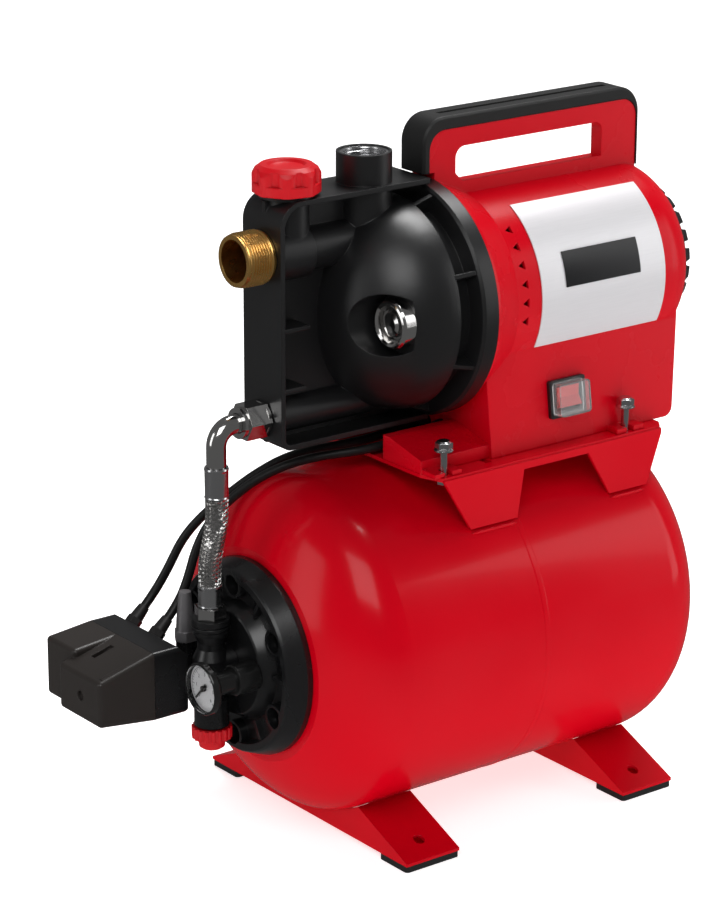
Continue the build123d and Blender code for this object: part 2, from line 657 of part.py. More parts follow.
with BuildPart() as rotor_core:
    turned_x([(50.0, SHAFT_R + FIT), (50.0, 30.0), (120.0, 30.0), (120.0, SHAFT_R + FIT)], PUMP_Z)
    for x_from in (44.0, 120.0):
        turned_x([(x_from, 20.0), (x_from, 29.0), (x_from + 6, 29.0), (x_from + 6, 20.0)], PUMP_Z)
save(rotor_core, "rotor_core")

with BuildPart() as bearings:
    for x_from in (FRONT_BEARING_X, REAR_BEARING_X):
        x_to = x_from + BEARING_WIDTH
        rod_x(x_from, x_to, BEARING_OUTER, 0, PUMP_Z)
        rod_x(x_from - 1, x_to + 1, SHAFT_R + FIT, 0, PUMP_Z, mode=Mode.SUBTRACT)
save(bearings, "bearings")

with BuildPart() as stator_core:
    rod_x(50.0, 120.0, 58.0, 0, PUMP_Z)
    rod_x(49.0, 121.0, 31.0, 0, PUMP_Z, mode=Mode.SUBTRACT)
    for dy, dz in on_circle(38.0, 12):
        rod_x(49.0, 121.0, 5.0, dy, PUMP_Z + dz, mode=Mode.SUBTRACT)
save(stator_core, "stator_core")

with BuildPart() as stator_windings:
    for x_from, x_to in ((34.0, 49.8), (120.2, 136.0)):
        turned_x([(x_from, 34.0), (x_from + 3, 49.0), (x_to, 51.0), (x_to, 33.0)], PUMP_Z)
save(stator_windings, "stator_windings")

with BuildPart() as front_end_shield:
    turned_x(
        [
            (-22.5, 20.0), (-22.5, 75.2), (-10.0, 75.2), (-10.0, 66.0), (-17.0, 66.0), (-17.0, 40.0),
            (FRONT_BEARING_X - 2, 28.0), (FRONT_BEARING_X + BEARING_WIDTH, 22.0),
            (FRONT_BEARING_X + BEARING_WIDTH, BEARING_OUTER + 0.05), (FRONT_BEARING_X - 0.1, BEARING_OUTER + 0.05),
            (FRONT_BEARING_X - 0.1, 13.0), (-6.0, 13.0), (-6.0, 20.0),
        ],
        PUMP_Z,
    )
save(front_end_shield, "front_end_shield")

with BuildPart() as rear_end_shield:
    turned_x(
        [
            (REAR_BEARING_X, BEARING_OUTER + 0.05), (REAR_BEARING_X, 24.0), (144.0, 60.0), (138.5, 60.0),
            (138.5, 64.0), (150.0, 64.0), (158.0, 24.0), (REAR_BEARING_X + BEARING_WIDTH + 2, 22.0),
            (REAR_BEARING_X + BEARING_WIDTH + 2, 12.0), (REAR_BEARING_X + BEARING_WIDTH + 0.1, 12.0),
            (REAR_BEARING_X + BEARING_WIDTH + 0.1, BEARING_OUTER + 0.05),
        ],
        PUMP_Z,
    )
save(rear_end_shield, "rear_end_shield")

FAN_BLADES = 8
with BuildPart() as cooling_fan:
    turned_x([(172.0, SHAFT_R + FIT), (172.0, 16.0), (186.0, 16.0), (186.0, SHAFT_R + FIT)], PUMP_Z)
    turned_x([(172.0, 14.0), (172.0, 34.0), (173.5, 34.0), (173.5, 14.0)], PUMP_Z)
    for dy, dz in on_circle(31.0, FAN_BLADES):
        with Locations(Location((179.0, dy, PUMP_Z + dz), (degrees(atan2(dz, dy)), 0, 0))):
            Box(13.0, 34.0, 1.8)
save(cooling_fan, "cooling_fan")

with BuildPart() as capacitor:
    rod_x(70.0, 130.0, 17.0, 36.0, 322.0)
    rod_x(130.0, 133.0, 12.0, 36.0, 322.0)
save(capacitor, "capacitor")

# ---------------------------------------------------------------- motor housing with handle
VENT_X = 16.5
VENT_ANGLES = (-8.4, 2.2, 12.7, 23.4, 34.0, 44.8)
WALL_LEAN = degrees(atan2(BOX_HALF - BOX_TOP_HALF, BOX_TOP_Z - HOUSING_BOTTOM))
SWITCH_Z = 331.0
SWITCH_X = 59.6
SWITCH_Y = -(BOX_TOP_HALF + (BOX_TOP_Z - SWITCH_Z) * tan(radians(WALL_LEAN)))
SWITCH_PLANE = Plane(
    origin=(SWITCH_X, SWITCH_Y, SWITCH_Z),
    x_dir=(1, 0, 0),
    z_dir=(0, -cos(radians(WALL_LEAN)), sin(radians(WALL_LEAN))),
)


def barrel(shrink, front, rear):
    """Motor barrel about the pump axis, with a rounded rear shoulder."""
    radius = BARREL_R - shrink
    with BuildPart() as solid:
        with BuildSketch(Plane(origin=(0, 0, PUMP_Z), x_dir=(1, 0, 0), z_dir=(0, -1, 0))):
            with BuildLine():
                top = Line((front, radius), (BARREL_END, radius))
                shoulder = TangentArc(top @ 1, (HOUSING_REAR - shrink, REAR_R - shrink), tangent=(1, 0))
                Line(shoulder @ 1, (rear, REAR_R - shrink))
                Line((rear, REAR_R - shrink), (rear, 0))
                Line((rear, 0), (front, 0))
                Line((front, 0), (front, radius))
            make_face()
        revolve(axis=Axis((0, 0, PUMP_Z), (1, 0, 0)))
    return solid.part


def box_outline(shrink):
    """Cross section of the lower box: side walls that lean outwards towards the base."""
    bottom = HOUSING_BOTTOM + shrink
    top_half = BOX_TOP_HALF - shrink
    bottom_half = BOX_HALF - shrink
    return [
        (-bottom_half, bottom), (bottom_half, bottom), (top_half, BOX_TOP_Z), (top_half, PUMP_Z),
        (-top_half, PUMP_Z), (-top_half, BOX_TOP_Z),
    ]


def motor_box(shrink):
    """The lower box, moved inwards by shrink: leaning side walls and a rear wall that leans back."""
    bottom = HOUSING_BOTTOM + shrink
    top_rear = BOX_REAR_TOP - shrink
    with BuildPart() as body:
        cross_plate(box_outline(shrink), BOX_FRONT + shrink, BOX_REAR_TOP)
        with BuildSketch(Plane.XZ.offset(-BOX_HALF - 1)) as outline:
            with BuildLine():
                FilletPolyline(
                    (BOX_FRONT, bottom), (BOX_REAR - shrink, bottom), (top_rear, BOX_TOP_Z), (top_rear, PUMP_Z),
                    radius=[9, 4],
                )
                Polyline((top_rear, PUMP_Z), (BOX_FRONT, PUMP_Z), (BOX_FRONT, bottom))
            make_face()
        extrude(outline.sketch, amount=2 * BOX_HALF + 2, mode=Mode.INTERSECT)
    return body.part


SLOT_REAR = 145.0
SLOT_NEAR = -10.6         # the handle's opening widens behind a thin lip on the switch side
SLOT_DEEP = -2.6
FOOT_TOP = 315.6
SLOT_HALF = BOLT_R + 0.6

with BuildPart() as motor_housing:
    add(barrel(0.0, HOUSING_FRONT, HOUSING_REAR + 0.1))
    turned_x(
        [
            (HOUSING_FRONT, 0), (HOUSING_FRONT, 91.5), (-19.0, 91.0), (-4.0, 84.5), (9.0, 78.5), (9.0, 0),
        ],
        PUMP_Z,
    )
    add(motor_box(0.0))
    # arch of the carrying handle
    with BuildSketch(Plane.XZ.offset(-HANDLE_HALF)) as arch:
        with BuildLine():
            FilletPolyline(
                (HANDLE_FRONT, 470), (HANDLE_FRONT, HANDLE_TOP), (HANDLE_REAR, HANDLE_TOP), (HANDLE_REAR, 470),
                radius=15,
            )
            Line((HANDLE_REAR, 470), (HANDLE_FRONT, 470))
        make_face()
        with BuildLine() as slot:
            FilletPolyline(
                (4.5, 498.5), (-2.5, 505.5), (-2.5, 526), (SLOT_REAR, 526), (SLOT_REAR, 498.5), radius=[2, 9, 7],
            )
            Line((SLOT_REAR, 498.5), (4.5, 498.5))
        make_face(slot.edges(), mode=Mode.SUBTRACT)
    extrude(arch.sketch, amount=2 * HANDLE_HALF)
    block((HANDLE_FRONT - 1, HOUSING_FRONT), (-20, 20), (460, FRAME_TOP + 0.2), mode=Mode.SUBTRACT)
    block((4.5, SLOT_REAR), (SLOT_NEAR, HANDLE_HALF + 1), (493.5, 500), mode=Mode.SUBTRACT)
    block((SLOT_REAR - 8, SLOT_REAR + 13), (SLOT_DEEP, HANDLE_HALF + 1), (493.5, 526), mode=Mode.SUBTRACT)
    # feet under the pump end, and thin lugs with open slots for the bolts
    for side in (-1, 1):
        cross_plate(
            [
                (side * 29.0, HOUSING_BOTTOM), (side * 29.0, FOOT_TOP), (side * 37.0, FOOT_TOP),
                (side * 76.0, FOOT_TOP - 9), (side * 76.0, HOUSING_BOTTOM),
            ],
            BRACKET_FRONT, BOX_FRONT + 1,
        )
        low, high = sorted((side * 75.0, side * 92.0))
        block((-82.0, -56.0), (low, high), (HOUSING_BOTTOM, 299.6))
        low, high = sorted((side * 74.0, side * 92.0))
        block((100.0, 128.0), (low, high), (HOUSING_BOTTOM, 300.0))
    # inside
    add(barrel(HOUSING_WALL, HOUSING_FRONT - 1, HOUSING_REAR + 1), mode=Mode.SUBTRACT)
    add(motor_box(HOUSING_WALL), mode=Mode.SUBTRACT)
    for side in (-1, 1):
        cross_plate(
            [
                (side * 32.0, HOUSING_BOTTOM - 1), (side * 32.0, FOOT_TOP - 3), (side * 37.0, FOOT_TOP - 3),
                (side * 73.0, FOOT_TOP - 11.4), (side * 73.0, HOUSING_BOTTOM - 1),
            ],
            BRACKET_FRONT + 3, BOX_FRONT - 1, mode=Mode.SUBTRACT,
        )
        for x in BOLT_X:
            low, high = sorted((side * BOLT_Y, side * 93.0))
            block((x - SLOT_HALF, x + SLOT_HALF), (low, high), (HOUSING_BOTTOM - 1, 310), mode=Mode.SUBTRACT)
            rod_z(HOUSING_BOTTOM - 1, 310, SLOT_HALF, x, side * BOLT_Y, mode=Mode.SUBTRACT)
    # triangular air inlets behind the collar, on both sides
    for side in (-1, 1):
        for angle in VENT_ANGLES:
            out_y = side * cos(radians(angle))
            out_z = sin(radians(angle))
            surface = Plane(
                origin=(VENT_X, BARREL_R * out_y, PUMP_Z + BARREL_R * out_z), x_dir=(1, 0, 0), z_dir=(0, out_y, out_z)
            )
            with BuildSketch(surface.offset(1)) as vent:
                RegularPolygon(4.0, 3, rotation=180)
            extrude(vent.sketch, amount=-8, mode=Mode.SUBTRACT)
    # openings for the switch and the cables
    with BuildSketch(SWITCH_PLANE.offset(2)) as opening:
        Rectangle(28, 22.6)
    extrude(opening.sketch, amount=-10, mode=Mode.SUBTRACT)
    for y in (-18.0, 2.0):
        rod_x(BOX_FRONT - 1, BOX_FRONT + 5, 5.0, y, 306.0, mode=Mode.SUBTRACT)
save(motor_housing, "motor_housing")

GRIP_FOOT = 508.9         # lower end of the grip over the pump's frame
GRIP_INNER = (HANDLE_FRONT - 0.1, HANDLE_REAR + 0.1, HANDLE_TOP + 0.1)

with BuildPart() as handle_grip:
    with BuildSketch(Plane.XZ.offset(-GRIP_HALF)) as band:
        with BuildLine():
            FilletPolyline(
                (GRIP_FRONT, GRIP_FOOT), (GRIP_FRONT, GRIP_TOP), (GRIP_REAR, GRIP_TOP), (GRIP_REAR, GRIP_REAR_END),
                radius=[20, 22],
            )
            Line((GRIP_REAR, GRIP_REAR_END), (GRIP_INNER[1], GRIP_REAR_END))
            FilletPolyline(
                (GRIP_INNER[1], GRIP_REAR_END), (GRIP_INNER[1], GRIP_INNER[2]), (GRIP_INNER[0], GRIP_INNER[2]),
                (GRIP_INNER[0], GRIP_FOOT), radius=15.1,
            )
            Line((GRIP_INNER[0], GRIP_FOOT), (GRIP_FRONT, GRIP_FOOT))
        make_face()
    extrude(band.sketch, amount=2 * GRIP_HALF)
    # shallow groove along the top, between two ridges
    block((-10.0, 158.0), (-2.5, 2.5), (GRIP_TOP - 1.6, GRIP_TOP + 1), mode=Mode.SUBTRACT)
    outer_edges = [
        edge for edge in handle_grip.edges()
        if abs(abs(edge.center().Y) - GRIP_HALF) < 0.01 and abs(edge.center().Z - GRIP_TOP) < 0.01
    ]
    chamfer(outer_edges, 1.8)
save(handle_grip, "handle_grip")

with BuildPart() as fan_cover:
    turned_x(
        [
            (HOUSING_REAR + 0.3, 50.0), (HOUSING_REAR + 0.3, REAR_R - 0.8), (204.0, 57.0), (204.0, 0),
            (201.0, 0), (201.0, 50.0),
        ],
        PUMP_Z,
    )
    turned_x(
        [
            (HOUSING_REAR - 6, 56.5), (HOUSING_REAR - 6, 60.8), (HOUSING_REAR + 0.4, 60.8), (HOUSING_REAR + 0.4, 56.5),
        ],
        PUMP_Z,
    )
    for dy, dz in on_circle(56.0, 24):
        with Locations(Location((200.5, dy, PUMP_Z + dz), (degrees(atan2(dz, dy)), 0, 0))):
            Box(10.0, 14.0, 6.0, mode=Mode.SUBTRACT)
    for radius in (16.0, 26.0, 36.0):
        for dy, dz in on_circle(radius, 8, start=22.5 if radius == 26.0 else 0.0):
            with Locations(Location((202.5, dy, PUMP_Z + dz), (degrees(atan2(dz, dy)) + 90, 0, 0))):
                Box(6.0, 0.5 * radius, 4.0, mode=Mode.SUBTRACT)
save(fan_cover, "fan_cover")

LABEL_TOP = 60.8          # degrees above the horizontal on the switch side
LABEL_BOTTOM = -27.2
LABEL_X = (31.0, 157.0)


def curved_panel(inner_r, outer_r, low, high, x_from, x_to):
    """A sheet that lies on the barrel on the switch side, between two angles above the horizontal."""
    with BuildPart() as body:
        with BuildSketch(Plane(origin=(x_from, 0, PUMP_Z), x_dir=(0, -1, 0), z_dir=(-1, 0, 0))) as sector:
            with BuildLine():
                outer = CenterArc((0, 0), outer_r, low, high - low)
                inner = CenterArc((0, 0), inner_r, low, high - low)
                Line(outer @ 0, inner @ 0)
                Line(outer @ 1, inner @ 1)
            make_face()
        extrude(sector.sketch, amount=x_from - x_to)
    return body


label_panel = curved_panel(BARREL_R + 0.05, BARREL_R + 0.85, LABEL_BOTTOM, LABEL_TOP, *LABEL_X)
save(label_panel, "label_panel")

badge_plate = curved_panel(BARREL_R + 0.9, BARREL_R + 1.7, 6.7, 26.6, 55.0, 130.6)
save(badge_plate, "badge_plate")

# ---------------------------------------------------------------- rocker switch
ROCKER_TILT = 9.0         # half of the rocker's travel, in degrees
ROCKER_DEPTH = 3.0        # hinge line behind the panel's face
PIVOT_R = 1.5


def off_switch(distance, tilt=0.0):
    """A plane parallel to the switch panel, further out by distance, and tilted about X."""
    centre = SWITCH_PLANE.offset(distance).origin
    angle = radians(WALL_LEAN + tilt)
    return Plane(origin=centre, x_dir=(1, 0, 0), z_dir=(0, -cos(angle), sin(angle)))


HINGE = off_switch(-ROCKER_DEPTH, ROCKER_TILT)
HINGE_Y = HINGE.origin.Y
HINGE_Z = HINGE.origin.Z
print(f"rocker hinge: x {SWITCH_X:.2f} y {HINGE_Y:.3f} z {HINGE_Z:.3f}")

with BuildPart() as switch_frame:
    with BuildSketch(off_switch(0.1)) as rim:
        RectangleRounded(36, 30, 2)
        Rectangle(22.5, 19.5, mode=Mode.SUBTRACT)
    extrude(rim.sketch, amount=3.5)
    with BuildSketch(off_switch(0.1)) as well:
        Rectangle(27, 21.6)
        Rectangle(22.5, 19.5, mode=Mode.SUBTRACT)
    extrude(well.sketch, amount=-14)
    with BuildSketch(off_switch(-13.9)) as base:
        Rectangle(27, 21.6)
    extrude(base.sketch, amount=-3)
    rod_x(SWITCH_X - 12.6, SWITCH_X + 12.6, PIVOT_R + FIT, HINGE_Y, HINGE_Z, mode=Mode.SUBTRACT)
save(switch_frame, "switch_frame")

with BuildPart() as switch_rocker:
    # seen along the hinge, the front is a shallow V: two finger faces that meet over the hinge
    with BuildSketch(Plane(origin=HINGE.origin, x_dir=HINGE.y_dir, z_dir=HINGE.x_dir).offset(-10.4)) as profile:
        with BuildLine():
            Polyline(
                (-8.0, 9.0), (0.0, 6.5), (8.0, 9.0), (8.6, 0.0), (4.5, -4.0), (-4.5, -4.0), (-8.6, 0.0), close=True
            )
        make_face()
    extrude(profile.sketch, amount=20.8)
    rod_x(SWITCH_X - 12.4, SWITCH_X + 12.4, PIVOT_R, HINGE_Y, HINGE_Z)
save(switch_rocker, "switch_rocker")

with BuildPart() as switch_cover:
    with BuildSketch(off_switch(3.7)) as shell:
        RectangleRounded(31, 26, 3)
    extrude(shell.sketch, amount=9.0)
    with BuildSketch(off_switch(3.7)) as hollow:
        RectangleRounded(28.6, 23.6, 2)
    extrude(hollow.sketch, amount=7.8, mode=Mode.SUBTRACT)
save(switch_cover, "switch_cover")

# ---------------------------------------------------------------- hose between pump and tank
BRAID_TOP = 284.5
BRAID_BOTTOM = 217.0

with BuildPart() as hose_nuts:
    hex_x(-195.0, FRAME_FRONT - 1.0, 26.0, 0, HOSE_Z)
    rod_x(-199.0, -195.0, 12.0, 0, HOSE_Z)
    rod_x(-178.5, FRAME_FRONT - 0.6, 13.6, 0, HOSE_Z)
    rod_x(-200.0, -196.3, 8.0, 0, HOSE_Z, mode=Mode.SUBTRACT)
    rod_x(-196.3, -170.0, 10.2 + FIT, 0, HOSE_Z, mode=Mode.SUBTRACT)
    hex_z(190.5, 199.8, 21.7, MANIFOLD_X, 0, turn=8.0)
    rod_z(190.0, 200.0, 7.0, MANIFOLD_X, 0, mode=Mode.SUBTRACT)
save(hose_nuts, "hose_nuts")

ELBOW_R = 7.65
with BuildPart() as hose_elbow:
    with BuildLine() as route:
        FilletPolyline((-197.0, 0, HOSE_Z), (ELBOW_X, 0, HOSE_Z), (ELBOW_X, 0, 309.2), radius=15)
    with BuildSketch(Plane(origin=(-197.0, 0, HOSE_Z), z_dir=(-1, 0, 0))) as section:
        Circle(ELBOW_R)
        Circle(5.5, mode=Mode.SUBTRACT)
    sweep(section.sketch, path=route.wires()[0])
save(hose_elbow, "hose_elbow")

with BuildPart() as hose_ferrules:
    turned_z(
        [
            (7.2, 309.0), (9.15, 309.0), (9.5, 307.5), (9.15, 306.0), (9.0, 286.5), (9.5, 285.5),
            (9.0, BRAID_TOP + 0.1), (7.2, BRAID_TOP + 0.1),
        ],
        ELBOW_X,
    )
    turned_z(
        [
            (7.2, BRAID_BOTTOM - 0.1), (9.3, BRAID_BOTTOM - 0.1), (9.5, 215.5), (9.2, 213.5), (9.2, 201.5),
            (9.6, 200.2), (7.2, 200.2),
        ],
        MANIFOLD_X,
    )
save(hose_ferrules, "hose_ferrules")

BRAID_R = 8.8
BRAID_ROUTE = [
    (ELBOW_X, 0, BRAID_TOP), (ELBOW_X, 0, BRAID_TOP - 17), (MANIFOLD_X, 0, BRAID_BOTTOM + 17),
    (MANIFOLD_X, 0, BRAID_BOTTOM),
]
with BuildPart() as braided_hose:
    with BuildLine() as route:
        FilletPolyline(*BRAID_ROUTE, radius=60)
    with BuildSketch(Plane(origin=BRAID_ROUTE[0], z_dir=(0, 0, -1))) as section:
        Circle(BRAID_R)
        Circle(5.0, mode=Mode.SUBTRACT)
    sweep(section.sketch, path=route.wires()[0])
save(braided_hose, "braided_hose")

# ---------------------------------------------------------------- five-way fitting, drain cap, gauge
DRAIN_RIBS = 18
DRAIN_END = 95.0          # mouth of the drain, inside its cap

with BuildPart() as manifold:
    turned_z(
        [
            (0, DRAIN_END), (9.0, DRAIN_END), (9.0, 103.5), (13.5, 103.5), (13.5, 126.0), (11.0, 130.0), (14.0, 142.0),
            (14.0, 158.0), (10.5, 166.0), (10.2, 171.0), (13.6, 178.0), (13.6, 181.0), (14.7, 182.0),
            (14.7, 184.5), (13.4, 185.0), (14.7, 185.8), (14.7, 190.3), (0, 190.3),
        ],
        MANIFOLD_X,
    )
    rod_x(MANIFOLD_X, HUB_FRONT - 0.1, 15.0, 0, TANK_Z)
    rod_z(DRAIN_END - 1, 191.0, 6.5, MANIFOLD_X, 0, mode=Mode.SUBTRACT)
    rod_x(MANIFOLD_X, HUB_FRONT + 1, 7.0, 0, TANK_Z, mode=Mode.SUBTRACT)
save(manifold, "manifold")

with BuildPart() as drain_cap:
    turned_z(
        [
            (0, 86.0), (8.0, 84.0), (10.0, 85.5), (10.6, 91.0), (14.6, 92.5), (14.6, 102.5),
            (9.6, 102.5), (9.6, DRAIN_END - 3), (0, DRAIN_END - 3),
        ],
        MANIFOLD_X,
    )
    for dx, dy in on_circle(14.0, DRAIN_RIBS):
        rod_z(92.8, 102.0, 1.7, MANIFOLD_X + dx, dy)
save(drain_cap, "drain_cap")

with BuildPart() as drain_seal:
    turned_z(
        [(6.8, DRAIN_END - 2.8), (9.3, DRAIN_END - 2.8), (9.3, DRAIN_END - 0.2), (6.8, DRAIN_END - 0.2)], MANIFOLD_X
    )
save(drain_seal, "drain_seal")

GAUGE_R = 20.3
GAUGE_FRONT = -259.0
GAUGE_BACK = -250.5

with BuildPart() as gauge_body:
    turned_x(
        [
            (GAUGE_FRONT, GAUGE_R - 1.6), (GAUGE_FRONT, GAUGE_R - 0.6), (GAUGE_FRONT + 1, GAUGE_R),
            (-254.0, GAUGE_R), (-251.6, GAUGE_R - 1.6), (GAUGE_BACK, GAUGE_R - 5), (GAUGE_BACK, 0), (-253.0, 0),
            (-253.0, GAUGE_R - 1.6),
        ],
        TANK_Z, -PORT_Y,
    )
    rod_x(GAUGE_BACK - 0.5, -229.0, 8.5, -PORT_Y, TANK_Z)
    turned_x(
        [
            (-230.0, 0), (-230.0, 11.0), (-229.0, 12.0), (HUB_FRONT - 1.1, 12.5), (HUB_FRONT - 0.1, 11.8),
            (HUB_FRONT - 0.1, 0),
        ],
        TANK_Z, -PORT_Y,
    )
save(gauge_body, "gauge_body")

with BuildPart() as gauge_dial:
    rod_x(-254.0, -253.2, GAUGE_R - 1.9, -PORT_Y, TANK_Z)
save(gauge_dial, "gauge_dial")

with BuildPart() as gauge_needle:
    rod_x(-256.6, -254.6, 2.4, -PORT_Y, TANK_Z)
    with BuildSketch(Plane(origin=(-256.2, -PORT_Y, TANK_Z), x_dir=(0, -1, 0), z_dir=(-1, 0, 0))) as pointer:
        with BuildLine():
            angle = radians(180 + 45)
            tip = (14.0 * cos(angle), 14.0 * sin(angle))
            side = (1.2 * sin(angle), -1.2 * cos(angle))
            tail = (-5.0 * cos(angle), -5.0 * sin(angle))
            Polyline(
                (tip[0] + 0.3 * side[0], tip[1] + 0.3 * side[1]), (tip[0] - 0.3 * side[0], tip[1] - 0.3 * side[1]),
                (tail[0] - side[0], tail[1] - side[1]), (tail[0] + side[0], tail[1] + side[1]), close=True,
            )
        make_face()
    extrude(pointer.sketch, amount=-0.7)
save(gauge_needle, "gauge_needle")

with BuildPart() as gauge_lens:
    rod_x(GAUGE_FRONT + 0.3, GAUGE_FRONT + 1.6, GAUGE_R - 1.7, -PORT_Y, TANK_Z)
save(gauge_lens, "gauge_lens")

# ---------------------------------------------------------------- pressure switch
BASE_X = (-270.0, -240.0)
BASE_Y = (9.5, 100.0)
BASE_Z = (113.0, 168.0)
SPLIT_Y = 60.5
CHAMFER = 8.0
SWITCH_WALL = 3.0
NEAR_FRONT = -320.0       # front faces of the cover's two lobes
FAR_FRONT = -310.0


def cover_lobe(front_x, y_span, front_z, shrink):
    """One lobe of the cover, moved inwards by shrink: it narrows towards its rounded front."""
    seam = BASE_X[0] - 0.2
    profile = [
        (front_x + shrink, front_z[0] + shrink), (front_x + shrink, front_z[1] - shrink),
        (seam, BASE_Z[1] - shrink), (seam, BASE_Z[0] + shrink),
    ]
    with BuildPart() as body:
        side_plate(profile, y_span[0] + shrink, y_span[1] - shrink)
        if shrink == 0:
            rounded = body.edges().filter_by(lambda edge: edge.center().X < seam - 1)
            fillet(rounded, 3.5)
    return body.part


with BuildPart() as pressure_switch_base:
    side_plate(
        [
            (BASE_X[0], BASE_Z[0]), (BASE_X[0], BASE_Z[1]), (BASE_X[1] - CHAMFER, BASE_Z[1]),
            (BASE_X[1], BASE_Z[1] - CHAMFER), (BASE_X[1], BASE_Z[0] + 3), (BASE_X[1] - 3, BASE_Z[0]),
        ],
        *BASE_Y,
    )
    fillet(pressure_switch_base.edges().filter_by(Axis.X), 3.5)
    block((BASE_X[0] - 1, BASE_X[1] - 10), (BASE_Y[0] + 4, BASE_Y[1] - 4), (118, 148), mode=Mode.SUBTRACT)
save(pressure_switch_base, "pressure_switch_base")

NEAR_Z = (119.0, 155.0)
FAR_Z = (117.0, 164.0)

with BuildPart() as pressure_switch_cover:
    add(cover_lobe(NEAR_FRONT, (BASE_Y[0], SPLIT_Y + 6), NEAR_Z, 0.0))
    add(cover_lobe(FAR_FRONT, (SPLIT_Y - 1, BASE_Y[1]), FAR_Z, 0.0))
    # rib along the near lobe's upper edge, and a wedge-shaped notch beside the far lobe
    side_plate(
        [
            (NEAR_FRONT + 5, NEAR_Z[1] - 1.0), (NEAR_FRONT + 5, NEAR_Z[1] + 1.6), (BASE_X[0] - 0.2, BASE_Z[1] - 0.2),
            (BASE_X[0] - 0.2, BASE_Z[1] - 3),
        ],
        BASE_Y[0] + 3.5, BASE_Y[0] + 7.5,
    )
    side_plate(
        [(-300.0, 155.0), (-300.0, 165.0), (-282.0, 165.5), (-282.0, 163.2)], SPLIT_Y - 14, SPLIT_Y - 9,
        mode=Mode.SUBTRACT,
    )
    rod_x(NEAR_FRONT - 1, NEAR_FRONT + 2.5, 4.0, 36.0, 138.0, mode=Mode.SUBTRACT)
    add(cover_lobe(NEAR_FRONT, (BASE_Y[0], SPLIT_Y), NEAR_Z, SWITCH_WALL + 1), mode=Mode.SUBTRACT)
    add(cover_lobe(FAR_FRONT, (SPLIT_Y - 1, BASE_Y[1]), FAR_Z, SWITCH_WALL), mode=Mode.SUBTRACT)
save(pressure_switch_cover, "pressure_switch_cover")

with BuildPart() as switch_terminals:
    rod_x(-254.5, -252.2, 14.0, PORT_Y, 133.0)
    rod_x(-266.0, -254.5, 3.0, PORT_Y, 133.0)
save(switch_terminals, "switch_terminals")

with BuildPart() as switch_tee:
    rod_x(BASE_X[1] + 0.05, HUB_FRONT - 0.1, 8.0, PORT_Y, TANK_Z - 6)
    hex_x(-236.0, -231.0, 19.0, PORT_Y, TANK_Z - 6)
    rod_z(TANK_Z - 6, 161.5, 7.5, MANIFOLD_X, PORT_Y)
save(switch_tee, "switch_tee")

with BuildPart() as service_stub:
    hex_z(161.6, 169.6, 16.0, MANIFOLD_X, PORT_Y)
    turned_z([(0, 169.6), (7.4, 169.6), (7.0, 178.0), (4.6, 201.0), (0, 201.0)], MANIFOLD_X, PORT_Y)
save(service_stub, "service_stub")

# ---------------------------------------------------------------- cables and their glands
GLAND_LENGTH = 17.0
GLAND_FACE = Vector(BASE_X[1] - CHAMFER / 2, 0, BASE_Z[1] - CHAMFER / 2)
GLAND_DIRECTION = Vector(1, 0, 1).normalized()
GLAND_Y = (80.0, 48.0)
PUMP_GLAND_Y = (2.0, -18.0)
PUMP_GLAND_Z = 306.0
PUMP_GLAND_FRONT = BOX_FRONT - 10.0


def gland_end(y):
    """Where a cable leaves its gland on the pressure switch."""
    point = GLAND_FACE + GLAND_DIRECTION * GLAND_LENGTH
    return (point.X, y, point.Z)


with BuildPart() as cable_glands:
    for y in GLAND_Y:
        foot = Plane(origin=(GLAND_FACE.X, y, GLAND_FACE.Z), x_dir=(0, 1, 0), z_dir=GLAND_DIRECTION)
        with BuildSketch(foot) as nut:
            RegularPolygon(6.4, 6)
        extrude(nut.sketch, amount=6.0)
        with BuildSketch(foot.offset(6.0)) as wide:
            Circle(5.5)
        with BuildSketch(foot.offset(GLAND_LENGTH)) as narrow:
            Circle(CABLE_R + 0.9)
        loft([wide.sketch.face(), narrow.sketch.face()])
    for y in PUMP_GLAND_Y:
        turned_x(
            [
                (PUMP_GLAND_FRONT, 0), (PUMP_GLAND_FRONT, 5.0), (BOX_FRONT - 3, 6.6), (BOX_FRONT, 6.6), (BOX_FRONT, 0),
            ],
            PUMP_GLAND_Z, y,
        )
        rod_x(BOX_FRONT, BOX_FRONT + 4, 4.8, y, PUMP_GLAND_Z)
save(cable_glands, "cable_glands")

MOTOR_CABLE_ROUTE = [
    gland_end(GLAND_Y[0]), (-221.5, GLAND_Y[0], 186.5), (-211.5, 76, 205), (-202, 70, 229), (-187, 62, 248), (-170, 52, 264),
    (-153, 40, 280), (-134, 27, 293), (-114, 14, 299), (-96, 6, 301), (-77, 1, 302.5), (-58, 1.5, 303.5),
    (-42, PUMP_GLAND_Y[0], PUMP_GLAND_Z), (PUMP_GLAND_FRONT, PUMP_GLAND_Y[0], PUMP_GLAND_Z),
]
SWITCH_CABLE_ROUTE = [
    gland_end(GLAND_Y[1]), (-221.5, GLAND_Y[1], 186.5), (-212, 48.3, 205), (-205, 47.5, 228), (-193, 45, 249), (-177, 37, 267),
    (-159, 25, 283), (-138, 11, 294), (-117, -4, 299.5), (-98, -14, 301), (-79, -18.5, 302.5), (-59, -17.5, 303.5),
    (-43, PUMP_GLAND_Y[1], PUMP_GLAND_Z), (PUMP_GLAND_FRONT, PUMP_GLAND_Y[1], PUMP_GLAND_Z),
]


def bend_radii(route):
    """The largest gentle radius at each corner of a cable's route."""
    points = [Vector(*p) for p in route]
    radii = []
    for before, corner, after in zip(points, points[1:], points[2:]):
        shorter = min((corner - before).length, (after - corner).length)
        turn = (corner - before).get_angle(after - corner)
        radii.append(0.45 * shorter / tan(radians(turn / 2)))
    return radii


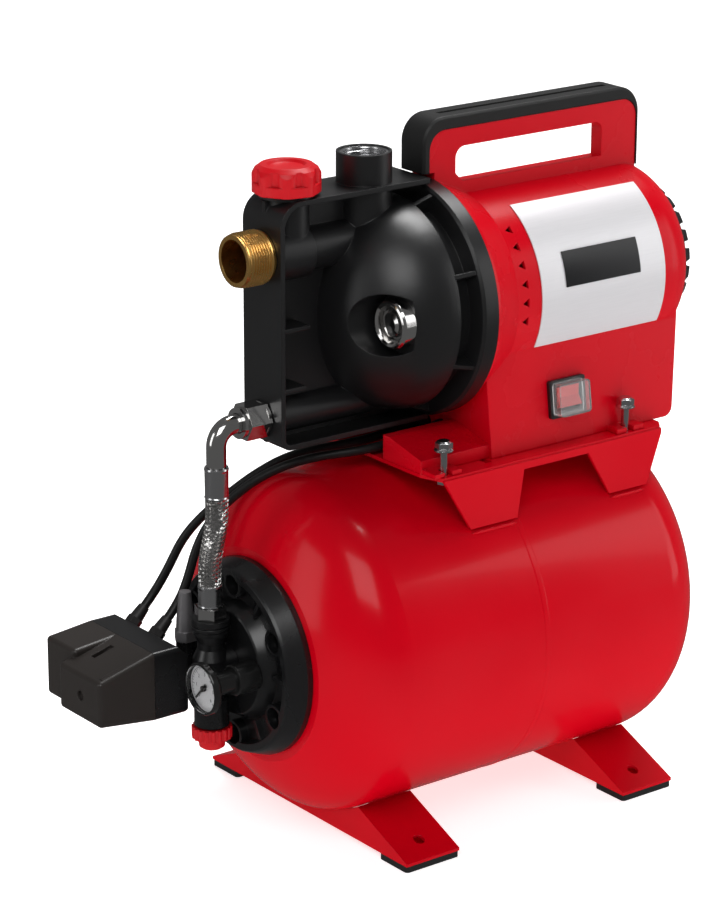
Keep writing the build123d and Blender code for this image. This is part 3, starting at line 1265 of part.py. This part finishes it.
def cable(route):
    """A round cable along straight runs joined by tangent arcs."""
    radii = bend_radii(route)
    direction = Vector(*route[1]) - Vector(*route[0])
    with BuildPart() as body:
        with BuildLine() as path:
            FilletPolyline(*route, radius=radii)
        with BuildSketch(Plane(origin=route[0], z_dir=direction)) as section:
            Circle(CABLE_R)
        sweep(section.sketch, path=path.wires()[0])
    length = path.wires()[0].length
    ratio = body.part.volume / (length * pi * CABLE_R**2)
    print(f"cable: length {length:.1f} mm, smallest radius {min(radii):.0f} mm, volume ratio {ratio:.3f}")
    print("cable starts at", route[0])
    return body


motor_cable = cable(MOTOR_CABLE_ROUTE)
save(motor_cable, "motor_cable")
switch_cable = cable(SWITCH_CABLE_ROUTE)
save(switch_cable, "switch_cable")
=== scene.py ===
import json
import math

import bmesh
import bpy
from mathutils import Matrix, Vector


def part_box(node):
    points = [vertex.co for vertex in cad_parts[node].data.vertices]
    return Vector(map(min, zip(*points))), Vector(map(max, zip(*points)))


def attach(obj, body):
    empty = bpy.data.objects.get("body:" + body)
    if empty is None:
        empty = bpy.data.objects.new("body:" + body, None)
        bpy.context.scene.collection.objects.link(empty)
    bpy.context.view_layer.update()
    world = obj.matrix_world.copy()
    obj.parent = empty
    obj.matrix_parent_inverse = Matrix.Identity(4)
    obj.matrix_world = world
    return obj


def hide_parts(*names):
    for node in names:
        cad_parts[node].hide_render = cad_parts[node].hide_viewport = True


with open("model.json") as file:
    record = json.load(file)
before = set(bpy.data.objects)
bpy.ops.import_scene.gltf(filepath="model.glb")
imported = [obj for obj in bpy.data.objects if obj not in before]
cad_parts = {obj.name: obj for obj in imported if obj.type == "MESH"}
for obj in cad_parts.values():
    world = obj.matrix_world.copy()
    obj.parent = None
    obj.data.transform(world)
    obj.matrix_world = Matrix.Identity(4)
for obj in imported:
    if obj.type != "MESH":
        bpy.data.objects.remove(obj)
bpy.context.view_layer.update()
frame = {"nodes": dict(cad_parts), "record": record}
NODES = frame["nodes"]
SLOT_OF = {row["node"]: row["material_slot"] for row in frame["record"]["subparts"]}

# Places of the CAD model, in metres.
TANK_Z = 0.1507
TANK_R = 0.135
SUCTION_Z = 0.465
MANIFOLD_X = -0.225
ELBOW_X = -0.218
PORT_Y = 0.034
DISCHARGE_X = -0.080


# ---------------------------------------------------------------- camera, light and stage
CAMERA_PLACE = (-1.5694, -1.9478, 1.1102)
CAMERA_RIGHT = Vector((0.79462, -0.60710, 0.00307))
CAMERA_UP = Vector((0.19006, 0.25355, 0.94847))
CAMERA_BACK = Vector((-0.5766, -0.7531, 0.3169))
LENS_MM = 133.8
SENSOR_MM = 36.0
SHIFT_X = -0.0028
SHIFT_Y = 0.0052
CLIP_END = 50.0

WORLD_STRENGTH = 0.12
LIGHT_AIM = (-0.05, 0.0, 0.28)
# name: place, size in metres, power in watts
LIGHTS = {
    "key": ((-1.5, -1.6, 2.3), (1.6, 1.6), 30.0),
    "top": ((0.72, 0.36, 2.3), (1.2, 1.0), 44.0),
    "side": ((1.9, -1.5, 0.9), (0.9, 1.8), 12.0),
    "left": ((-2.3, 0.5, 0.9), (0.8, 1.6), 8.0),
}

# The sweep runs away from the camera, then curves up into a wall.
SWEEP_ALONG = Vector((0.608, 0.794, 0.0))
SWEEP_ACROSS = Vector((0.794, -0.608, 0.0))
SWEEP_HALF_WIDTH = 6.0
SWEEP_FRONT = -6.0
SWEEP_BACK = 2.5
SWEEP_CURVE_R = 1.5
SWEEP_CURVE_STEPS = 12
SWEEP_HEIGHT = 6.0
SWEEP_DROP = 0.0002


def make_camera():
    data = bpy.data.cameras.new("camera")
    data.lens = LENS_MM
    data.sensor_width = SENSOR_MM
    data.shift_x = SHIFT_X
    data.shift_y = SHIFT_Y
    data.clip_end = CLIP_END
    camera = bpy.data.objects.new("camera", data)
    bpy.context.scene.collection.objects.link(camera)
    turn = Matrix((CAMERA_RIGHT, CAMERA_UP, CAMERA_BACK)).transposed().to_4x4()
    camera.matrix_world = Matrix.Translation(CAMERA_PLACE) @ turn
    bpy.context.scene.camera = camera


def area_light(name, place, size, power):
    data = bpy.data.lights.new(name, "AREA")
    data.shape = "RECTANGLE"
    data.size, data.size_y = size
    data.energy = power
    light = bpy.data.objects.new(name, data)
    light.location = place
    light.rotation_euler = (Vector(LIGHT_AIM) - Vector(place)).to_track_quat("-Z", "Y").to_euler()
    bpy.context.scene.collection.objects.link(light)


def make_sweep():
    """The white floor, which curves up behind the object and stays out of its reflections."""
    profile = [(SWEEP_FRONT, 0.0), (SWEEP_BACK, 0.0)]
    for step in range(1, SWEEP_CURVE_STEPS + 1):
        angle = math.radians(90.0 * step / SWEEP_CURVE_STEPS)
        far = SWEEP_BACK + SWEEP_CURVE_R * math.sin(angle)
        profile.append((far, SWEEP_CURVE_R - SWEEP_CURVE_R * math.cos(angle)))
    profile.append((SWEEP_BACK + SWEEP_CURVE_R, SWEEP_HEIGHT))
    verts = []
    for side in (-SWEEP_HALF_WIDTH, SWEEP_HALF_WIDTH):
        for far, height in profile:
            verts.append(SWEEP_ALONG * far + SWEEP_ACROSS * side + Vector((0, 0, height - SWEEP_DROP)))
    count = len(profile)
    faces = [(i, i + 1, count + i + 1, count + i) for i in range(count - 1)]
    mesh = bpy.data.meshes.new("floor")
    mesh.from_pydata(verts, [], faces)
    mesh.shade_smooth()
    floor = bpy.data.objects.new("floor", mesh)
    bpy.context.scene.collection.objects.link(floor)
    floor.data.materials.append(MATERIALS["studio_floor"])
    floor.visible_glossy = False


def make_studio():
    """A white sweep, large soft lights and a weak white world."""
    scene = bpy.context.scene
    scene.view_settings.view_transform = "Standard"
    world = bpy.data.worlds.new("studio")
    scene.world = world
    world.use_nodes = True
    background = world.node_tree.nodes["Background"]
    background.inputs["Color"].default_value = (1.0, 1.0, 1.0, 1.0)
    background.inputs["Strength"].default_value = WORLD_STRENGTH
    make_sweep()
    for name, (place, size, power) in LIGHTS.items():
        area_light(name, place, size, power)


# ---------------------------------------------------------------- materials
MATERIALS = {}
RED = (0.57, 0.0, 0.008)
BLACK = (0.006, 0.006, 0.0065)

COAT_ROUGHNESS = 0.06
LEAST_ROUGHNESS = 0.02
PATCH_DETAIL = 5.0
GRAIN_DETAIL = 3.0
BEVEL_SAMPLES = 4
MM_PER_M = 1000.0


def finish(
    name, color, roughness, *, shift=0.12, spread=0.06, metallic=0.0, coat=0.0, grain=900.0, bump=0.02,
    patch=14.0, stretch=(1.0, 1.0, 1.0), ior=1.5, transmission=0.0, emission=0.0, edge=0.0004,
    specular=0.5,
):
    """A procedural finish in the row frame: patchy colour, uneven roughness, fine grain, soft edges.

    shift is the share by which the colour varies, spread the amount by which the roughness does,
    patch and grain are noise scales, bump is the relief in mm and edge the rounding in metres.
    """
    material = bpy.data.materials.new(name)
    material.use_nodes = True
    nodes = material.node_tree.nodes
    links = material.node_tree.links
    shader = nodes["Principled BSDF"]
    shader.inputs["Metallic"].default_value = metallic
    shader.inputs["IOR"].default_value = ior
    shader.inputs["Specular IOR Level"].default_value = specular
    shader.inputs["Coat Weight"].default_value = coat
    shader.inputs["Coat Roughness"].default_value = COAT_ROUGHNESS
    shader.inputs["Transmission Weight"].default_value = transmission
    if emission:
        shader.inputs["Emission Color"].default_value = (1.0, 1.0, 1.0, 1.0)
        shader.inputs["Emission Strength"].default_value = emission

    coords = nodes.new("ShaderNodeTexCoord")
    mapping = nodes.new("ShaderNodeMapping")
    mapping.inputs["Scale"].default_value = stretch
    links.new(coords.outputs["Object"], mapping.inputs["Vector"])

    patches = nodes.new("ShaderNodeTexNoise")
    patches.inputs["Scale"].default_value = patch
    patches.inputs["Detail"].default_value = PATCH_DETAIL
    links.new(mapping.outputs["Vector"], patches.inputs["Vector"])
    tint = nodes.new("ShaderNodeMix")
    tint.data_type = "RGBA"
    low = [c * (1.0 - shift) for c in color]
    high = [min(1.0, c * (1.0 + shift)) for c in color]
    tint.inputs["A"].default_value = (*low, 1.0)
    tint.inputs["B"].default_value = (*high, 1.0)
    links.new(patches.outputs["Fac"], tint.inputs["Factor"])
    links.new(tint.outputs["Result"], shader.inputs["Base Color"])

    rough = nodes.new("ShaderNodeMapRange")
    rough.inputs["To Min"].default_value = max(LEAST_ROUGHNESS, roughness - spread)
    rough.inputs["To Max"].default_value = roughness + spread
    links.new(patches.outputs["Fac"], rough.inputs["Value"])
    links.new(rough.outputs["Result"], shader.inputs["Roughness"])

    fine = nodes.new("ShaderNodeTexNoise")
    fine.inputs["Scale"].default_value = grain
    fine.inputs["Detail"].default_value = GRAIN_DETAIL
    links.new(mapping.outputs["Vector"], fine.inputs["Vector"])
    soft_edge = nodes.new("ShaderNodeBevel")
    soft_edge.samples = BEVEL_SAMPLES
    soft_edge.inputs["Radius"].default_value = edge
    relief = nodes.new("ShaderNodeBump")
    relief.inputs["Strength"].default_value = 1.0
    relief.inputs["Distance"].default_value = bump / MM_PER_M
    links.new(fine.outputs["Fac"], relief.inputs["Height"])
    links.new(soft_edge.outputs["Normal"], relief.inputs["Normal"])
    links.new(relief.outputs["Normal"], shader.inputs["Normal"])
    MATERIALS[name] = material


def make_materials():
    finish("studio_floor", (0.93, 0.93, 0.93), 0.6, shift=0.01, bump=0.0, edge=0.0, emission=0.7)

    # painted and moulded reds
    finish(
        "tank_red", RED, 0.20, coat=0.08, specular=0.16, shift=0.05,
        grain=130.0, bump=0.02, edge=0.0008,
    )
    finish("housing_red", RED, 0.27, specular=0.16, shift=0.05, grain=700.0, bump=0.012, edge=0.0012)
    finish(
        "cap_red", (0.56, 0.002, 0.008), 0.34, specular=0.25, shift=0.06,
        grain=900.0, bump=0.02, edge=0.0010,
    )
    finish("rocker_red", (0.80, 0.01, 0.01), 0.2, shift=0.05, bump=0.008)

    # black plastics, painted metal and rubber
    finish("casing_black", BLACK, 0.36, specular=0.6, shift=0.2, grain=1500.0, bump=0.03, edge=0.0010)
    finish("flange_black", BLACK, 0.28, specular=0.6, shift=0.2, grain=1100.0, bump=0.02, edge=0.0008)
    finish(
        "cover_black", (0.022, 0.018, 0.016), 0.36, specular=0.4, shift=0.2,
        grain=1700.0, bump=0.04, edge=0.0012,
    )
    finish("gauge_black", (0.008, 0.008, 0.008), 0.20, shift=0.1, bump=0.006, edge=0.0006)
    finish("gland_black", (0.013, 0.012, 0.012), 0.45, specular=0.4, shift=0.2, bump=0.03)
    finish("badge_black", (0.004, 0.004, 0.005), 0.18, specular=0.3, shift=0.1, bump=0.004)
    finish(
        "grip_black", (0.012, 0.012, 0.012), 0.45, specular=0.3, shift=0.15,
        grain=2200.0, bump=0.06, edge=0.0014,
    )
    finish(
        "rubber_black", (0.016, 0.016, 0.016), 0.75, specular=0.3, shift=0.2,
        grain=1200.0, bump=0.06,
    )
    finish(
        "cable_black", (0.008, 0.008, 0.008), 0.38, specular=0.35, shift=0.15,
        grain=900.0, bump=0.02,
    )
    finish("needle_black", (0.01, 0.01, 0.01), 0.4)

    # clear and pale parts
    finish("ivory_plastic", (0.72, 0.69, 0.58), 0.4, shift=0.06)
    finish(
        "clear_cover", (0.92, 0.93, 0.93), 0.08, shift=0.02,
        transmission=0.9, ior=1.25, bump=0.01, edge=0.0,
    )
    finish(
        "lens_glass", (1.0, 1.0, 1.0), 0.03, shift=0.0, spread=0.01,
        transmission=1.0, ior=1.15, bump=0.0, edge=0.0,
    )
    finish("dial_white", (0.50, 0.50, 0.51), 0.4, shift=0.03)
    finish(
        "label_silver", (0.74, 0.73, 0.75), 0.38, metallic=0.25, shift=0.05, grain=60.0, bump=0.01,
        patch=40.0, stretch=(1.0, 30.0, 30.0),
    )

    # metals
    finish("chrome", (0.62, 0.61, 0.60), 0.12, metallic=1.0, shift=0.05, spread=0.04, bump=0.004)
    finish("zinc_steel", (0.56, 0.56, 0.57), 0.24, metallic=1.0, shift=0.10, bump=0.01)
    finish(
        "steel_braid", (0.52, 0.51, 0.50), 0.24, metallic=1.0, shift=0.25,
        patch=400.0, bump=0.004, edge=0.0,
    )
    finish("bare_steel", (0.50, 0.50, 0.51), 0.35, metallic=1.0, shift=0.08)
    finish("bare_aluminium", (0.62, 0.63, 0.64), 0.45, metallic=1.0, shift=0.08, bump=0.05)
    finish("grey_metal", (0.26, 0.25, 0.26), 0.35, metallic=0.7, shift=0.08)
    finish("brass", (0.92, 0.52, 0.16), 0.28, metallic=1.0, shift=0.16, patch=90.0, bump=0.015)
    finish("copper_winding", (0.70, 0.28, 0.10), 0.35, metallic=1.0, bump=0.1)


# ---------------------------------------------------------------- mesh helpers
SMOOTH_BELOW = 35.0
THREAD_SMOOTH_BELOW = 50.0
BEAD_SMOOTH_BELOW = 80.0
TURNED_SIDES = 64


def piece(name, verts, faces, slot, smooth_below=SMOOTH_BELOW):
    """A mesh object in the row frame, smooth but for its sharp edges, that rides on the base."""
    mesh = bpy.data.meshes.new(name)
    mesh.from_pydata([tuple(v) for v in verts], [], faces)
    work = bmesh.new()
    work.from_mesh(mesh)
    bmesh.ops.recalc_face_normals(work, faces=work.faces)
    limit = math.radians(smooth_below)
    for face in work.faces:
        face.smooth = True
    for edge in work.edges:
        edge.smooth = len(edge.link_faces) == 2 and edge.calc_face_angle(0.0) < limit
    work.to_mesh(mesh)
    work.free()
    made = bpy.data.objects.new(name, mesh)
    bpy.context.scene.collection.objects.link(made)
    made.data.materials.append(MATERIALS[slot])
    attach(made, "base")
    return made


def ring_faces(rings, sides, looped=False):
    """Quads between rings of vertices; a looped row closes on itself, another gets two caps."""
    faces = []
    for r in range(rings if looped else rings - 1):
        for s in range(sides):
            a = r * sides + s
            b = r * sides + (s + 1) % sides
            up = ((r + 1) % rings) * sides
            faces.append((a, b, up + (s + 1) % sides, up + s))
    if not looped:
        faces.append(tuple(range(sides))[::-1])
        faces.append(tuple((rings - 1) * sides + s for s in range(sides)))
    return faces


def tube(points, radius, sides):
    """Vertices and faces of a round tube along points; radius is a number or one number per point."""
    radii = radius if isinstance(radius, list) else [radius] * len(points)
    verts = []
    normal = None
    for i, point in enumerate(points):
        before = points[max(i - 1, 0)]
        after = points[min(i + 1, len(points) - 1)]
        tangent = (after - before).normalized()
        if normal is None:
            normal = tangent.orthogonal().normalized()
        normal = (normal - tangent * normal.dot(tangent)).normalized()
        side = tangent.cross(normal)
        for s in range(sides):
            angle = 2 * math.pi * s / sides
            verts.append(point + (normal * math.cos(angle) + side * math.sin(angle)) * radii[i])
    return verts, ring_faces(len(points), sides)


def join_parts(parts):
    """One list of vertices and faces from several."""
    verts, faces = [], []
    for part_verts, part_faces in parts:
        start = len(verts)
        verts += part_verts
        faces += [tuple(start + i for i in face) for face in part_faces]
    return verts, faces


def around(place, axis, along, radius, angle):
    """A point at a radius and an angle about the x or z axis through place."""
    c, d = radius * math.cos(angle), radius * math.sin(angle)
    return Vector(place) + (Vector((along, c, d)) if axis == "x" else Vector((c, d, along)))


def turned(profile, place, axis="x", sides=TURNED_SIDES):
    """A closed profile of (along, radius) points turned about a line through place."""
    verts = []
    for along, radius in profile:
        for s in range(sides):
            verts.append(around(place, axis, along, radius, 2 * math.pi * s / sides))
    return verts, ring_faces(len(profile), sides, looped=True)


# ---------------------------------------------------------------- threads
THREAD_PITCH = 0.00231
STEPS_PER_PITCH = 8
# The triangle wave is scaled up and cut off, which leaves flat crests and roots.
FLANK_GAIN = 1.35
FLANK_DROP = 0.17
# The thread fades out over a sixth of its length at either end.
RUN_OUT = 6.0

SUCTION_THREAD_END = -0.1755
SUCTION_SLEEVE_END = -0.150
SUCTION_ROOT = 0.01965
SUCTION_CREST = 0.02095
SUCTION_BORE = 0.0162
SUCTION_SLEEVE_R = 0.0179
DISCHARGE_ROOT = 0.01645
DISCHARGE_CREST = 0.01515
DISCHARGE_OUTER = 0.0188


def threaded(start, end, root, crest, plain, place, axis="x", sides=TURNED_SIDES):
    """A pipe wall with a helical thread on one side, and plain, of radius plain, on the other."""
    steps = int((end - start) / THREAD_PITCH * STEPS_PER_PITCH)
    rings = []
    for k in range(steps + 1):
        along = start + (end - start) * k / steps
        run_out = min(1.0, RUN_OUT * k / steps, RUN_OUT * (steps - k) / steps)
        ring = []
        for s in range(sides):
            turn = s / sides
            phase = (along / THREAD_PITCH + turn) % 1.0
            wave = 1.0 - abs(2.0 * phase - 1.0)
            shape = min(1.0, max(0.0, FLANK_GAIN * wave - FLANK_DROP))
            ring.append((along, turn, root + (crest - root) * shape * run_out))
        rings.append(ring)
    for along in (end, start):
        rings.append([(along, s / sides, plain) for s in range(sides)])
    verts = []
    for ring in rings:
        for along, turn, radius in ring:
            verts.append(around(place, axis, along, radius, 2 * math.pi * turn))
    return verts, ring_faces(len(rings), sides, looped=True)


def make_threads():
    suction_low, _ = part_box("suction_insert")
    centre = (0, 0, SUCTION_Z)
    start = suction_low[0]
    thread = threaded(start, SUCTION_THREAD_END, SUCTION_ROOT, SUCTION_CREST, SUCTION_BORE, centre)
    brass = piece("suction_thread", *thread, "brass", THREAD_SMOOTH_BELOW)
    profile = [
        (SUCTION_THREAD_END, SUCTION_BORE), (SUCTION_THREAD_END, SUCTION_SLEEVE_R),
        (SUCTION_SLEEVE_END, SUCTION_SLEEVE_R), (SUCTION_SLEEVE_END, SUCTION_BORE),
    ]
    sleeve = piece("suction_sleeve", *turned(profile, centre), "brass")
    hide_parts("suction_insert")
    sleeve.parent = brass

    low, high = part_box("discharge_insert")
    thread = threaded(
        low[2], high[2], DISCHARGE_ROOT, DISCHARGE_CREST, DISCHARGE_OUTER, (DISCHARGE_X, 0, 0), axis="z"
    )
    metal = piece("discharge_thread", *thread, "zinc_steel", THREAD_SMOOTH_BELOW)
    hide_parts("discharge_insert")


# ---------------------------------------------------------------- cables
MOTOR_CABLE = [
    (-0.23198, 0.080, 0.17602), (-0.2215, 0.080, 0.1865), (-0.2115, 0.076, 0.205), (-0.202, 0.070, 0.229),
    (-0.187, 0.062, 0.248), (-0.170, 0.052, 0.264), (-0.153, 0.040, 0.280), (-0.134, 0.027, 0.293),
    (-0.114, 0.014, 0.299), (-0.096, 0.006, 0.301), (-0.077, 0.001, 0.3025), (-0.058, 0.0015, 0.3035),
    (-0.042, 0.002, 0.306), (-0.027, 0.002, 0.306),
]
SWITCH_CABLE = [
    (-0.23198, 0.048, 0.17602), (-0.2215, 0.048, 0.1865), (-0.212, 0.0483, 0.205), (-0.205, 0.0475, 0.228),
    (-0.193, 0.045, 0.249), (-0.177, 0.037, 0.267), (-0.159, 0.025, 0.283), (-0.138, 0.011, 0.294),
    (-0.117, -0.004, 0.2995), (-0.098, -0.014, 0.301), (-0.079, -0.0185, 0.3025), (-0.059, -0.0175, 0.3035),
    (-0.043, -0.018, 0.306), (-0.027, -0.018, 0.306),
]
CABLE_DIAMETER = 0.0072
CABLE_SPANS = 8
CABLE_ROUNDNESS = 5


def make_cable(name, node, route):
    curve = bpy.data.curves.new(name, "CURVE")
    curve.dimensions = "3D"
    spline = curve.splines.new("NURBS")
    spline.points.add(len(route) - 1)
    for point, place in zip(spline.points, route):
        point.co = (*place, 1.0)
    spline.order_u = 3
    spline.use_endpoint_u = True
    spline.resolution_u = CABLE_SPANS
    curve.bevel_depth = CABLE_DIAMETER / 2
    curve.bevel_resolution = CABLE_ROUNDNESS
    curve.use_fill_caps = True
    cable = bpy.data.objects.new(name, curve)
    bpy.context.scene.collection.objects.link(cable)
    curve.materials.append(MATERIALS["cable_black"])
    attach(cable, "base")
    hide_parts(node)


# ---------------------------------------------------------------- braided hose
BRAID_TOP = 0.2846
BRAID_BOTTOM = 0.2169
BEND_TOP = 0.272
BEND_BOTTOM = 0.229
BRAID_ROWS = 84
BRAID_CORE_R = 0.0081
BRAID_CORE_SIDES = 32
BRAID_WEAVE_R = 0.0085
CARRIERS = 16
WIRES = 4
WIRE_R = 0.00025
WIRE_SIDES = 4
WIRE_GAP = 0.00056
WEAVE_DEPTH = 0.00022


def hose_middle(z):
    """Centre of the braided hose at a height: two straight ends joined by a gentle S."""
    share = min(1.0, max(0.0, (BEND_TOP - z) / (BEND_TOP - BEND_BOTTOM)))
    return Vector((ELBOW_X + (MANIFOLD_X - ELBOW_X) * (0.5 - 0.5 * math.cos(math.pi * share)), 0.0, z))


def make_braid():
    """Wires wound both ways round a core, each carrier weaving over and under those it crosses."""
    heights = [BRAID_TOP + (BRAID_BOTTOM - BRAID_TOP) * i / BRAID_ROWS for i in range(BRAID_ROWS + 1)]
    twist = 1.0 / BRAID_WEAVE_R
    parts = [tube([hose_middle(z) for z in heights], BRAID_CORE_R, BRAID_CORE_SIDES)]
    for way in (1, -1):
        for carrier in range(CARRIERS):
            for wire in range(WIRES):
                side = (wire - (WIRES - 1) / 2) * WIRE_GAP / BRAID_WEAVE_R
                line = []
                for z in heights:
                    run = BRAID_TOP - z
                    angle = 2 * math.pi * carrier / CARRIERS + way * twist * run + side
                    radius = BRAID_WEAVE_R + way * WEAVE_DEPTH * math.cos(CARRIERS * twist * run)
                    outward = Vector((math.cos(angle), math.sin(angle), 0.0))
                    line.append(hose_middle(z) + outward * radius)
                parts.append(tube(line, WIRE_R, WIRE_SIDES))
    braid = piece("hose_braid", *join_parts(parts), "steel_braid")
    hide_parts("braided_hose")


# ---------------------------------------------------------------- gauge face
GAUGE_FACE_X = -0.25405
GAUGE_CENTRE = Vector((GAUGE_FACE_X, -PORT_Y, TANK_Z))
GAUGE_TOP_BAR = 6
GAUGE_START = 225.0
GAUGE_SWEEP = 270.0
MARKS_PER_BAR = 5
MARK_OUTER_R = 0.0162
LONG_MARK_INNER_R = 0.0132
SHORT_MARK_INNER_R = 0.0146
LONG_MARK_WIDTH = 0.00045
SHORT_MARK_WIDTH = 0.00022
ARC_R = 0.0165
ARC_WIDTH = 0.0003
ARC_STEPS = 60
MARK_LIFT = 0.00012
DIGIT_R = 0.0108
DIGIT_SIZE = 0.0040
DIGIT_LIFT = 0.00006


def on_dial(radius, share):
    """A point on the dial; share runs from 0 to 1 over the scale, clockwise as seen from -X."""
    angle = math.radians(GAUGE_START - GAUGE_SWEEP * share)
    return GAUGE_CENTRE + Vector((0.0, -radius * math.cos(angle), radius * math.sin(angle)))


def flat_bar(start, end, width):
    """A thin raised bar on the dial between two points."""
    along = (end - start).normalized()
    side = along.cross(Vector((1, 0, 0))) * width / 2
    lift = Vector((-MARK_LIFT, 0, 0))
    verts = []
    for base in (Vector((0, 0, 0)), lift):
        verts += [start + side + base, start - side + base, end - side + base, end + side + base]
    faces = [(0, 1, 2, 3), (7, 6, 5, 4), (0, 4, 5, 1), (1, 5, 6, 2), (2, 6, 7, 3), (3, 7, 4, 0)]
    return verts, faces


def make_digit(number):
    """A plain numeral as a mesh, facing -X on the dial."""
    text = bpy.data.curves.new(f"digit_{number}", "FONT")
    text.body = str(number)
    text.size = DIGIT_SIZE
    text.align_x = "CENTER"
    text.align_y = "CENTER"
    text.extrude = DIGIT_LIFT
    holder = bpy.data.objects.new("digit_curve", text)
    bpy.context.scene.collection.objects.link(holder)
    graph = bpy.context.evaluated_depsgraph_get()
    mesh = bpy.data.meshes.new_from_object(holder.evaluated_get(graph))
    bpy.data.objects.remove(holder)
    turn = Matrix(((0, 0, -1), (-1, 0, 0), (0, 1, 0)))
    mesh.transform(Matrix.Translation(on_dial(DIGIT_R, number / GAUGE_TOP_BAR)) @ turn.to_4x4())
    digit = bpy.data.objects.new(f"dial_number_{number}", mesh)
    bpy.context.scene.collection.objects.link(digit)
    mesh.materials.append(MATERIALS["needle_black"])
    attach(digit, "base")


def make_dial():
    parts = []
    marks = GAUGE_TOP_BAR * MARKS_PER_BAR
    for mark in range(marks + 1):
        share = mark / marks
        is_long = mark % MARKS_PER_BAR == 0
        inner = LONG_MARK_INNER_R if is_long else SHORT_MARK_INNER_R
        width = LONG_MARK_WIDTH if is_long else SHORT_MARK_WIDTH
        parts.append(flat_bar(on_dial(inner, share), on_dial(MARK_OUTER_R, share), width))
    for step in range(ARC_STEPS):
        start = on_dial(ARC_R, step / ARC_STEPS)
        end = on_dial(ARC_R, (step + 1) / ARC_STEPS)
        parts.append(flat_bar(start, end, ARC_WIDTH))
    piece("dial_scale", *join_parts(parts), "needle_black")
    for number in range(GAUGE_TOP_BAR + 1):
        make_digit(number)


# ---------------------------------------------------------------- weld beads
WELD_Y = 0.0955
WELD_LIFT = 0.0004
WELD_SPANS = ((-0.048, -0.004), (0.092, 0.126))
BEAD_R = 0.0017
BEAD_SIDES = 10
RIPPLE = 0.0022
RIPPLE_DEPTH = 0.14
STEPS_PER_RIPPLE = 4
# The bead narrows to a quarter at its ends, over about a tenth of its length.
BEAD_CLOSING = 8
BEAD_END_SHARE = 0.25


def bead(start, end):
    """A ripple-edged weld bead along a straight line."""
    steps = max(4, int((end - start).length / (RIPPLE / STEPS_PER_RIPPLE)))
    points, radii = [], []
    for i in range(steps + 1):
        share = i / steps
        points.append(start.lerp(end, share))
        wave = 0.5 + 0.5 * math.cos(2 * math.pi * (end - start).length * share / RIPPLE)
        closing = min(1.0, BEAD_CLOSING * min(share, 1 - share) + BEAD_END_SHARE)
        radii.append(BEAD_R * (1 - RIPPLE_DEPTH + RIPPLE_DEPTH * wave) * closing)
    return tube(points, radii, BEAD_SIDES)


def make_welds():
    """Beads where the bracket's legs meet the top of the tank."""
    parts = []
    for side in (-1, 1):
        y = side * WELD_Y
        z = TANK_Z + math.sqrt(TANK_R**2 - y**2) + WELD_LIFT
        for x_from, x_to in WELD_SPANS:
            parts.append(bead(Vector((x_from, y, z)), Vector((x_to, y, z))))
    piece("bracket_welds", *join_parts(parts), "tank_red", BEAD_SMOOTH_BELOW)


# ---------------------------------------------------------------- build
make_materials()
make_camera()
make_studio()

make_cable("cable_to_motor", "motor_cable", MOTOR_CABLE)
make_cable("cable_to_switch", "switch_cable", SWITCH_CABLE)
make_braid()
make_threads()
make_dial()
make_welds()

for name, node in NODES.items():
    for material_slot in node.material_slots:
        material_slot.material = MATERIALS[SLOT_OF[name]]
